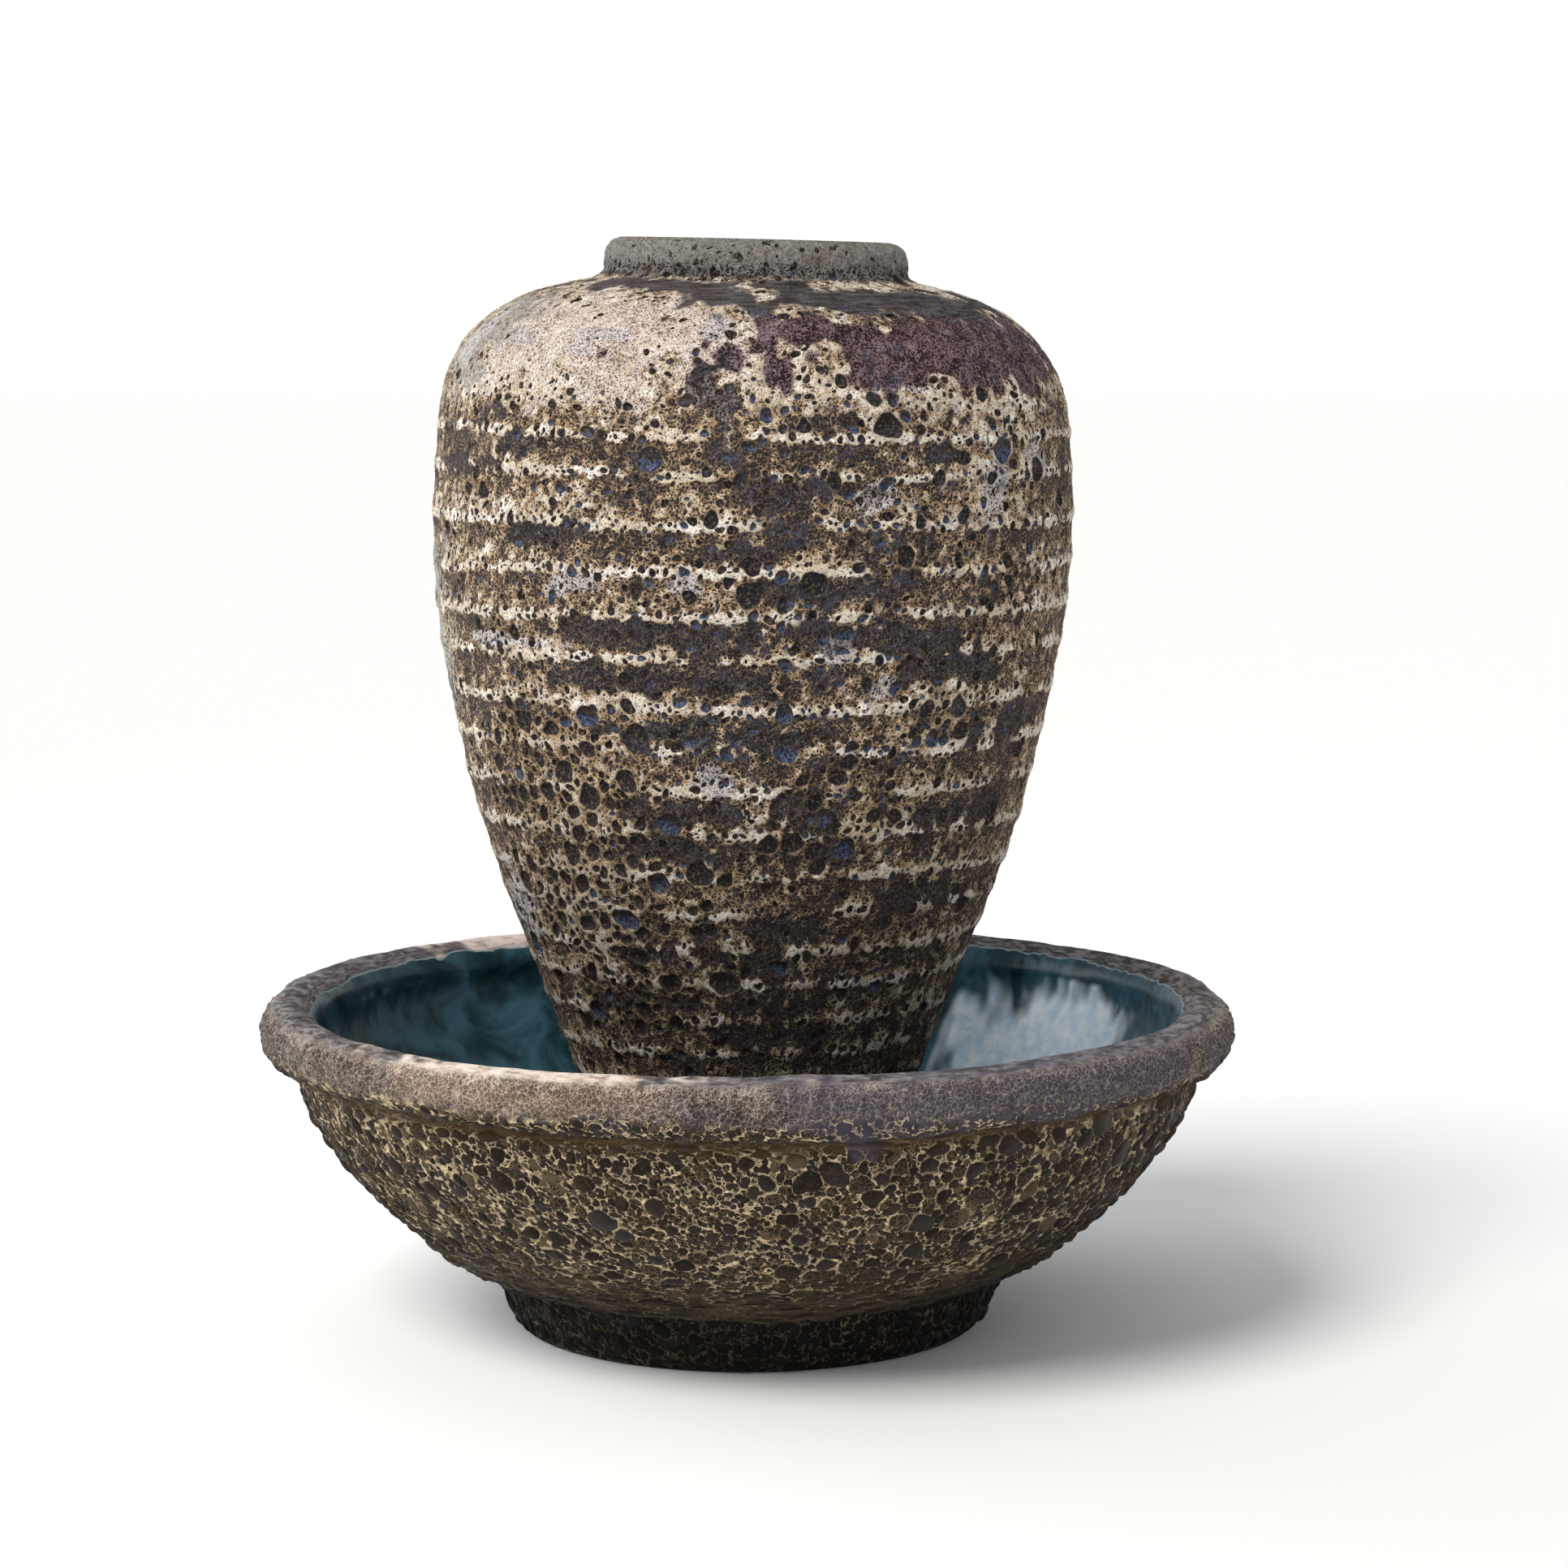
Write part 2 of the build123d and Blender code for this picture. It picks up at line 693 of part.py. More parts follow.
pieces = {
    "basin": basin,
    "drain_stopper": drain_stopper,
    "pedestal": pedestal,
    "pedestal_pads": pedestal_pads,
    "seat_pads": seat_pads,
    "jar": jar,
    "bulkhead_fitting": bulkhead_fitting,
    "inner_gasket": inner_gasket,
    "outer_gasket": outer_gasket,
    "fitting_nut": fitting_nut,
    "riser_pipe": riser_pipe,
    "delivery_hose": delivery_hose,
    "hose_clamps": hose_clamps,
    "clamp_screws": clamp_screws,
    "pump_housing": pump_housing,
    "suction_cups": suction_cups,
    "cord_gland": cord_gland,
    "chamber_seal": chamber_seal,
    "chamber_screws": chamber_screws,
    "pump_chamber": pump_chamber,
    "rotor_shaft": rotor_shaft,
    "front_bush": front_bush,
    "rear_bush": rear_bush,
    "rotor_magnet": rotor_magnet,
    "impeller": impeller,
    "strainer_grille": strainer_grille,
    "flow_dial": flow_dial,
}

os.makedirs("parts", exist_ok=True)
for name, piece in pieces.items():
    piece.part.label = name
    export_step(piece.part, f"parts/{name}.step")
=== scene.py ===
"""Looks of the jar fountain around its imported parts. Metres, +Z up, viewer on the -Y side."""

import math
from functools import partialmethod

import bpy
import numpy as np
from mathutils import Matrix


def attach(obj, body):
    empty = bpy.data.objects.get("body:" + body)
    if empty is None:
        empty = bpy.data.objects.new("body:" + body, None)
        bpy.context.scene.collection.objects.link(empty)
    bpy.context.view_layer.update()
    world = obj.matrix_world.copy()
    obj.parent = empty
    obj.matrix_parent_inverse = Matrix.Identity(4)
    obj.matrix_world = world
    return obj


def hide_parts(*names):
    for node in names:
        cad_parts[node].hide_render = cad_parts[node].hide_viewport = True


MM = 0.001
FRONT = -math.pi / 2

# Camera, from the photograph's 1932 pixel frame
PHOTO_PIXELS = 1932
FOCAL_PIXELS = 5255
SENSOR_MM = 36.0
CAMERA_DISTANCE = 3.70
CAMERA_HEIGHT = 0.913
CAMERA_PITCH = 6.757
CAMERA_YAW = 0.4966

GLAZE_SPECULAR = 0.15

# Light and floor: angles in degrees, the rest in metres and watts
SUN_STRENGTH = 2.45
SUN_WIDTH = 28
SUN_FROM_TOP = 42
SUN_TURN = -40
SUN_COLOUR = (1.0, 0.96, 0.90)
WINDOW_PLACE = (-2.2, 0.9, 1.0)
WINDOW_TARGET = (0.3, 0.15, 0.2)
WINDOW_SIZE = 1.4
WINDOW_POWER = 22
WINDOW_COLOUR = (0.93, 0.97, 1.0)
SKY_STRENGTH = {"From Min": 0.06, "From Max": 0.40, "To Min": 1.02, "To Max": 0.44}
FLOOR_REACH = 30.0

# Basin, in millimetres
BASIN_RADIUS = 425.0
BASIN_HEIGHT = 290.0
BEAD_RADIUS = 25.0
BOWL_WALL = 26.0
FLOOR_FLAT_RADIUS = 190.0
FLOOR_LEVEL_WIDTH = 30.0
INSIDE_UPRIGHT = 14.0
FLOOR_TOP = 86.0
FLOOR_UNDERSIDE = 60.0
FOOT_HEIGHT = 55.0
FOOT_RADIUS = 204.0
FOOT_TOP_RADIUS = 225.0
FOOT_LEDGE = 3.0
FOOT_INNER_RADIUS = 172.0
FOOT_EDGE = 8.0
DRAIN_RADIUS = 20.0
DRAIN_OFFSET = 80.0
NOTCH_WIDTH = 30.0
NOTCH_HEIGHT = 28.0
COVE_HEIGHT = 236.0
STRATA_AND_SHADE_HEIGHTS = (70, 118)
BOWL_SHARES = ((0.21, 0.08), (0.38, 0.19), (0.64, 0.39), (0.83, 0.59), (0.96, 0.82))
BOWL_INSIDE_SHARES = (0.25, 0.45, 0.65, 0.82)
BASIN_SPACING = 1.75

# Jar, in millimetres
JAR_BASE = 203.0
JAR_TOP = 946.0
JAR_BASE_RADIUS = 147.0
BELLY_RADIUS = 281.0
JAR_WALL = 17.0
JAR_FLOOR = 20.0
JAR_HOLE_RADIUS = 14.0
COLLAR_RADIUS = 131.0
COLLAR_HEIGHT = 34.0
COLLAR_FOOT = 9.0
MOUTH_RADIUS = 107.0
LIP_RADIUS = 9.0
LIP_OUTER_RADIUS = 14.0
JAR_SETTLE = 4.2
SHOULDER_SETTLE = 1.8
COLLAR_SETTLE = 1.2
JAR_SHARES = (
    (0.630, 0.115), (0.801, 0.294), (0.925, 0.475), (0.993, 0.655), (0.984, 0.806), (0.915, 0.910),
    (0.751, 0.970),
)
JAR_INSIDE_SHARES = (0.12, 0.26, 0.40, 0.54, 0.67, 0.77, 0.86)
RIB_HEIGHT_SHARES = (
    0.012, 0.042, 0.082, 0.122, 0.167, 0.207, 0.250, 0.293, 0.341,
    0.390, 0.437, 0.486, 0.541, 0.588, 0.638, 0.689, 0.742, 0.786,
)
RIB_SPREAD = 5.2
RIB_RISE = 0.9
JAR_LEAN = 7.5
SHOULDER_TILT = 0.0244
JAR_SPACING = 1.6

# Heights between which the jar's glaze, its painted shade low down and its shape change
UPPER_HEIGHTS = (795, 815)
LOWER_HEIGHTS = (300, 560)
SETTLE_HEIGHTS = (740, 840)
TILT_HEIGHTS = (700, 880)

# Zones of the glaze: degrees to the right of the front, height, half width and half height
JAR_ZONES = {
    "pale": ((-40, 864, 50, 46), (-150, 866, 44, 40)),
    "maroon": ((42, 860, 46, 36), (12, 874, 12, 16), (190, 864, 44, 36)),
    "slate": ((32, 898, 54, 12), (-34, 907, 50, 6), (200, 900, 80, 11)),
    "sage": ((-68, 862, 14, 44), (-78, 620, 10, 60), (120, 850, 20, 40)),
    "ochre": ((-40, 440, 26, 140), (36, 560, 10, 30), (22, 470, 16, 40), (140, 500, 40, 140)),
    "glassy": ((30, 740, 52, 110), (14, 560, 30, 90), (-125, 700, 40, 130), (165, 640, 40, 150)),
    "night": (
        (-9, 822, 6, 18), (-52, 806, 6, 12), (19, 800, 8, 12), (36, 801, 8, 10), (-45, 778, 7, 10),
        (-17, 734, 8, 10), (-37, 708, 10, 8), (-18, 703, 8, 11), (35, 771, 8, 12), (8, 739, 8, 12),
        (-2, 694, 18, 10), (30, 700, 16, 9), (-20, 660, 8, 12), (10, 662, 20, 10), (48, 655, 16, 11),
        (-12, 625, 24, 10), (24, 622, 18, 9), (-4, 586, 26, 10), (40, 590, 14, 10), (-34, 590, 10, 10),
        (12, 545, 24, 12), (52, 540, 12, 16), (-2, 478, 20, 11), (34, 470, 18, 12), (-12, 441, 12, 11),
        (26, 436, 18, 9), (8, 377, 14, 11), (40, 400, 24, 12), (-20, 350, 16, 10), (24, 340, 30, 13),
        (-14, 308, 40, 10), (14, 278, 50, 9), (-70, 760, 14, 9), (-70, 640, 16, 10), (100, 790, 14, 18),
        (95, 700, 20, 14), (120, 620, 26, 12), (150, 800, 20, 14), (175, 720, 24, 12), (205, 660, 24, 12),
        (-120, 800, 16, 14), (-100, 720, 22, 12), (-130, 640, 26, 12), (105, 520, 26, 12),
        (190, 560, 26, 14), (-110, 560, 26, 12), (-140, 460, 28, 12), (110, 400, 30, 14),
        (170, 420, 30, 12), (220, 350, 34, 12), (100, 300, 40, 12),
    ),
    "blotch": (
        (-32, 867, 7, 6), (-52, 861, 4, 8), (-37, 853, 4, 6), (-7, 874, 5, 9), (31, 826, 5, 4),
        (38, 812, 1.8, 9), (46, 743, 3, 26), (23, 735, 6, 11), (-29, 668, 8, 12), (-12, 666, 5, 12),
        (24, 581, 3, 18), (15, 613, 3, 9), (-7, 505, 6, 13), (-45, 615, 14, 5), (-68, 385, 7, 46),
        (-72, 866, 7, 26), (58, 775, 5, 26), (140, 690, 8, 14), (-140, 700, 8, 14), (180, 640, 7, 10),
        (-170, 520, 8, 10), (110, 840, 6, 16), (200, 600, 10, 6), (-110, 480, 6, 12),
    ),
    "creamy": (
        (-48, 775, 9, 16), (-22, 800, 8, 12), (14, 832, 24, 14), (-34, 740, 9, 12), (48, 760, 14, 50),
        (20, 616, 14, 18), (-58, 700, 16, 60), (-24, 566, 16, 14), (-34, 822, 40, 14), (-34, 490, 18, 46),
        (16, 530, 14, 12), (60, 640, 14, 50), (-52, 400, 20, 40), (0, 410, 16, 12), (130, 760, 30, 30),
        (-160, 780, 40, 30), (-110, 680, 20, 40), (150, 620, 30, 30), (-150, 560, 30, 40),
        (190, 480, 30, 40), (-120, 380, 30, 30), (130, 440, 30, 30),
    ),
}
BASIN_ZONES = {
    # rosy: pinkish rim glaze, brightened as a painted highlight
    "rosy": ((-27, 280, 19, 30), (-148, 280, 16, 30)),
    # painted shade on the bowl's right side and back
    "shaded_side": ((68, 150, 46, 150), (-170, 150, 60, 150)),
    "violet": ((34, 272, 38, 30), (-150, 270, 40, 34), (150, 170, 16, 30)),
    # pale patches inside: a painted reflection of the sky in the glossy glaze
    "milk": ((129, 200, 19, 54), (140, 272, 12, 7), (118, 270, 10, 5), (10, 200, 30, 40)),
}


def smooth_step(value, low, high):
    """0 below low, 1 above high, with an even S between them."""
    share = np.clip((value - low) / (high - low), 0, 1)
    return share * share * (3 - 2 * share)


def spline(points, steps=400):
    """Natural cubic spline through the points, followed by chord length."""
    points = np.asarray(points, float)
    knots = np.concatenate(([0], np.cumsum(np.hypot(*np.diff(points, axis=0).T))))
    count = len(points)
    gaps = np.diff(knots)
    matrix = np.eye(count)
    right = np.zeros((count, 2))
    for k in range(1, count - 1):
        matrix[k, k - 1:k + 2] = gaps[k - 1], 2 * (gaps[k - 1] + gaps[k]), gaps[k]
        after, before = points[k + 1] - points[k], points[k] - points[k - 1]
        right[k] = 6 * (after / gaps[k] - before / gaps[k - 1])
    bends = np.linalg.solve(matrix, right)
    at = np.linspace(0, knots[-1], steps)
    k = np.clip(np.searchsorted(knots, at, side="right") - 1, 0, count - 2)
    ahead = (knots[k + 1] - at)[:, None]
    behind = (at - knots[k])[:, None]
    gap = gaps[k][:, None]
    curve = (bends[k] * ahead**3 + bends[k + 1] * behind**3) / (6 * gap)
    curve += (points[k] / gap - bends[k] * gap / 6) * ahead
    curve += (points[k + 1] / gap - bends[k + 1] * gap / 6) * behind
    return curve


def arc(centre, radius, start, end, steps=40):
    """Points on an arc between two angles in degrees."""
    angles = np.radians(np.linspace(start, end, steps))
    return np.stack((centre[0] + radius * np.cos(angles), centre[1] + radius * np.sin(angles)), -1)


def inside(line, thickness, shares):
    """Points at a wall's thickness to the left of an outline that is followed upwards."""
    places = (np.array(shares) * (len(line) - 1)).astype(int)
    along = np.gradient(line, axis=0)[places]
    along /= np.hypot(*along.T)[:, None]
    return line[places] + np.stack((-along[:, 1], along[:, 0]), -1) * thickness


def spaced(line, spacing):
    """The same outline with points about a spacing apart, without its last point."""
    line = np.asarray(line, float)
    length = np.concatenate(([0], np.cumsum(np.hypot(*np.diff(line, axis=0).T))))
    count = max(2, round(length[-1] / spacing))
    at = np.linspace(0, length[-1], count, endpoint=False)
    return np.stack([np.interp(at, length, line[:, k]) for k in (0, 1)], -1)


def rounded(line, reach):
    """The outline with its corners softened over a reach in points."""
    weights = np.exp(-0.5 * (np.arange(-3 * reach, 3 * reach + 1) / reach) ** 2)
    weights /= weights.sum()
    padded = np.pad(line, ((3 * reach, 3 * reach), (0, 0)), mode="edge")
    soft = np.stack([np.convolve(padded[:, k], weights, mode="valid") for k in (0, 1)], -1)
    ends = smooth_step(np.minimum(np.arange(len(line)), np.arange(len(line))[::-1]), 0, 3 * reach)
    return line + (soft - line) * ends[:, None]


class Body:
    """A closed pot of rings: outline stretches joined end to end, with numbers kept at each vertex."""

    def __init__(self, stretches, columns):
        self.names = np.concatenate([[name] * len(line) for name, line in stretches])
        outline = np.concatenate([line for _, line in stretches])
        self.radius, self.height = outline.T
        self.columns = columns
        self.turn = np.arange(columns) * 2 * math.pi / columns
        ahead = np.roll(outline, -1, axis=0) - np.roll(outline, 1, axis=0)
        ahead /= np.maximum(np.hypot(*ahead.T), 1e-9)[:, None]
        self.out = np.stack((ahead[:, 1], -ahead[:, 0]), -1)
        steps = np.hypot(*(outline - np.roll(outline, 1, axis=0)).T)
        self.along = np.cumsum(steps) - steps[0]
        self.rise = np.zeros((len(outline), columns))
        self.fields = {}
        self.keep(slice(None), pit=-Foam.FAR, raw=1.0)

    def rows(self, *names):
        """First and last ring, plus one, of neighbouring stretches."""
        places = np.flatnonzero(np.isin(self.names, names))
        return slice(places[0], places[-1] + 1)

    def keep(self, rows, **fields):
        """Keeps numbers at each vertex for the materials, 0 on rings that have been given none."""
        for name, values in fields.items():
            self.fields.setdefault(name, np.zeros(self.rise.shape, np.float32))[rows] = values

    def surface(self):
        """x, y and z of each vertex, with its relief added."""
        radius = self.radius[:, None] + self.rise * self.out[:, 0, None]
        z = self.height[:, None] + self.rise * self.out[:, 1, None]
        return radius * np.cos(self.turn), radius * np.sin(self.turn), z


def cloud(shape, spacing, size, seed, stretch=1.0):
    """Smooth random field of mean 0 and spread 1, its blobs about size high and size * stretch wide."""
    random = np.random.default_rng(seed)
    up = np.fft.fftfreq(shape[0], spacing)[:, None] * size
    across = np.fft.rfftfreq(shape[1], spacing)[None, :] * size * stretch
    gain = np.exp(-3.0 * (up**2 + across**2))
    noise = np.fft.irfft2(np.fft.rfft2(random.standard_normal(shape)) * gain, s=shape)
    return noise / noise.std()


class Foam:
    """Bubbles burst in the glaze. Keeps at each vertex how far it is from the nearest edges."""

    FAR = 60.0
    REACH = 7.0

    def __init__(self, body, rows, seed):
        self.along = body.along[rows]
        self.radius = np.maximum(body.radius[rows], 1)
        self.turn = body.turn
        self.shape = (len(self.along), body.columns)
        self.near, self.second, self.size, self.tone, self.drop = (
            np.full(self.shape, value) for value in (self.FAR, self.FAR, 4.0, 0.0, 0.0)
        )
        self.random = np.random.default_rng(seed)
        self.warp = np.zeros((2,) + self.shape)

    def uneven(self, spacing, size, reach, seed):
        """Bends the bubbles out of round by up to about the reach, in stretches of a size."""
        self.warp += [cloud(self.shape, spacing, size, seed + k) * reach / 2 for k in (0, 1)]

    def stamp(self, row, column, size, flat):
        """Adds one bubble. A flat one is wider than it is high."""
        centre, radius = self.along[row], self.radius[row]
        reach = size + self.REACH
        low, high = np.searchsorted(self.along, (centre - reach / flat, centre + reach / flat))
        half = int(reach * flat / radius / (2 * math.pi) * self.shape[1]) + 1
        half = min(half, self.shape[1] // 2 - 1)
        offsets = np.arange(-half, half + 1)
        columns = (column + offsets) % self.shape[1]
        window = np.ix_(np.arange(low, high), columns)
        across = offsets[None, :] * (2 * math.pi / self.shape[1]) * self.radius[low:high, None] / flat
        up = (self.along[low:high, None] - centre) * flat
        across = across + self.warp[0][window] - self.warp[0, row, column]
        up = up + self.warp[1][window] - self.warp[1, row, column]
        gap = np.hypot(across, up) - size
        near = self.near[window]
        closer = gap < near
        self.second[window] = np.minimum(self.second[window], np.maximum(near, gap))
        self.near[window] = np.minimum(near, gap)
        self.size[window] = np.where(closer, size, self.size[window])
        self.tone[window] = np.where(closer, self.random.random(), self.tone[window])
        self.drop[window] = np.where(closer, -up / size, self.drop[window])

    def scatter(self, tries, smallest, largest, density, overlap=0.1, flat=None):
        """Throws bubbles at random where density allows, and keeps those clear of the earlier ones."""
        density = np.broadcast_to(density, self.shape)
        rows = self.random.integers(0, self.shape[0], tries)
        columns = self.random.integers(0, self.shape[1], tries)
        sizes = smallest + (largest - smallest) * self.random.random(tries) ** 1.6
        chance = density[rows, columns] * self.radius[rows] / self.radius.max()
        wanted = self.random.random(tries) < chance
        for row, column, size in zip(rows[wanted], columns[wanted], sizes[wanted]):
            if self.near[row, column] > size * (1 - overlap):
                self.stamp(row, column, size, 1.0 if flat is None else flat[row])

    def edge(self, spill=0.0):
        """How far in from the nearest wall, in wall widths, which are thinner on small bubbles.

        Negative beyond a bubble's edge, where no cell spills over."""
        inward = np.minimum(spill - self.near, (self.second - self.near) / 2)
        return inward / np.clip(self.size / 6, 0.6, 1.2)

    def relief(self, edge, depth, deepest, lip):
        """Height of the burst bubbles: bowls with a raised lip around them."""
        share = np.clip(edge / self.size, 0, 1)
        bowl = np.sqrt(1 - (1 - share) ** 2) * np.minimum(self.size * depth, deepest)
        ring = np.exp(-((edge + 0.5) / 1.1) ** 2) * lip * np.clip(self.size / 5, 0.3, 1.5)
        return ring - bowl


def zone(turn, height, places, wander):
    """Patches at degrees to the right of the front, 1 inside. wander roughens their soft edges."""
    field = 0
    for at_turn, at_height, half_turn, half_height in places:
        away = (np.degrees(turn[None, :] - FRONT) - at_turn + 180) % 360 - 180
        span = np.hypot(away / half_turn, (height[:, None] - at_height) / half_height)
        field = np.maximum(field, smooth_step(-span - wander, -1.25, -0.75))
    return field


def add_object(name, data):
    holder = bpy.data.objects.new(name, data)
    bpy.context.scene.collection.objects.link(holder)
    return holder


def build_mesh(name, body, x, y, z, texture_shares):
    """Closed mesh of quads from ring and column arrays in millimetres, with fields and texture map."""
    rows, columns = x.shape
    mesh = bpy.data.meshes.new(name)
    mesh.vertices.add(rows * columns)
    mesh.vertices.foreach_set("co", (np.stack((x, y, z), -1) * MM).astype(np.float32).ravel())
    ring = np.arange(rows)[:, None] * columns
    next_ring = (np.arange(1, rows + 1) % rows)[:, None] * columns
    column = np.arange(columns)[None, :]
    next_column = (column + 1) % columns
    corners = np.stack(
        (ring + column, ring + next_column, next_ring + next_column, next_ring + column), -1
    )
    faces = rows * columns
    mesh.loops.add(faces * 4)
    mesh.loops.foreach_set("vertex_index", corners.astype(np.int32).ravel())
    mesh.polygons.add(faces)
    mesh.polygons.foreach_set("loop_start", np.arange(0, faces * 4, 4, dtype=np.int32))
    mesh.update(calc_edges=True)
    low = np.broadcast_to(texture_shares[:-1, None], (rows, columns))
    high = np.broadcast_to(texture_shares[1:, None], (rows, columns))
    left = np.broadcast_to(column / columns, (rows, columns))
    right = left + 1 / columns
    places = np.stack((left, low, right, low, right, high, left, high), -1)
    layer = mesh.uv_layers.new(name="OFBake")
    layer.data.foreach_set("uv", places.astype(np.float32).ravel())
    for field, values in body.fields.items():
        kept = mesh.attributes.new(field, "FLOAT", "POINT")
        kept.data.foreach_set("value", values.astype(np.float32).ravel())
    mesh.shade_smooth()
    return add_object(name, mesh)


def texture_rows(body, shares):
    """Where each ring lies in the texture, from the share of it that each group of stretches gets."""
    weight = np.zeros(len(body.names))
    for names, share in shares:
        chosen = np.isin(body.names, names)
        weight[chosen] = share / chosen.sum()
    return np.concatenate(([0], np.cumsum(weight))) / weight.sum()


def jar_body():
    """Rings of the jar: outside, lip, inside, the hole for the fitting, and the underside."""
    neck_foot = JAR_TOP - COLLAR_HEIGHT
    outside = spline(
        [(JAR_BASE_RADIUS, JAR_BASE)]
        + [(BELLY_RADIUS * out, JAR_BASE + (neck_foot - JAR_BASE) * up) for out, up in JAR_SHARES]
        + [(COLLAR_RADIUS + COLLAR_FOOT, neck_foot)]
    )
    collar = np.concatenate((
        outside,
        [(COLLAR_RADIUS, neck_foot + COLLAR_FOOT / 2)],
        arc((COLLAR_RADIUS - LIP_OUTER_RADIUS, JAR_TOP - LIP_OUTER_RADIUS), LIP_OUTER_RADIUS, 0, 90),
    ))
    lip = np.concatenate((
        collar[-1:],
        arc((MOUTH_RADIUS + LIP_RADIUS, JAR_TOP - LIP_RADIUS), LIP_RADIUS, 90, 180),
        [(MOUTH_RADIUS, neck_foot - JAR_WALL)],
    ))
    cavity = spline(
        [(JAR_BASE_RADIUS - JAR_WALL, JAR_BASE + JAR_FLOOR)]
        + list(inside(outside, JAR_WALL, JAR_INSIDE_SHARES))
        + [(MOUTH_RADIUS, neck_foot - JAR_WALL)]
    )[::-1]
    floor = [cavity[-1], (JAR_HOLE_RADIUS, JAR_BASE + JAR_FLOOR)]
    hole = [floor[-1], (JAR_HOLE_RADIUS, JAR_BASE)]
    under = [hole[-1], (JAR_BASE_RADIUS, JAR_BASE)]
    stretches = [
        ("outside", rounded(spaced(collar, JAR_SPACING), 2)),
        ("lip", spaced(lip, 3.0)),
        ("inside", spaced(cavity, 9.0)),
        ("floor", spaced(floor, 12.0)),
        ("hole", spaced(hole, 6.0)),
        ("under", spaced(under, 12.0)),
    ]
    return Body(stretches, round(2 * math.pi * BELLY_RADIUS / JAR_SPACING))


def jar_ribs(body, rows, wander, rough):
    """Rib strength from 0 to 1, and the distance below the nearest rib."""
    ribs = np.zeros(wander.shape)
    below = np.full(wander.shape, 40.0)
    for k, share in enumerate(RIB_HEIGHT_SHARES):
        drift = 1.2 * wander + 0.3 * rough + 0.9 * np.sin(body.turn[None, :] * 2 + k)
        up = body.height[rows][:, None] + drift - JAR_BASE - (JAR_TOP - JAR_BASE) * share
        spread = np.where(up > 0, RIB_SPREAD * 1.2, RIB_SPREAD * 0.8)
        ribs = np.maximum(ribs, np.exp(-0.5 * (up / spread) ** 2))
        below = np.where((up < 0) & (-up < below), -up, below)
    return ribs, below


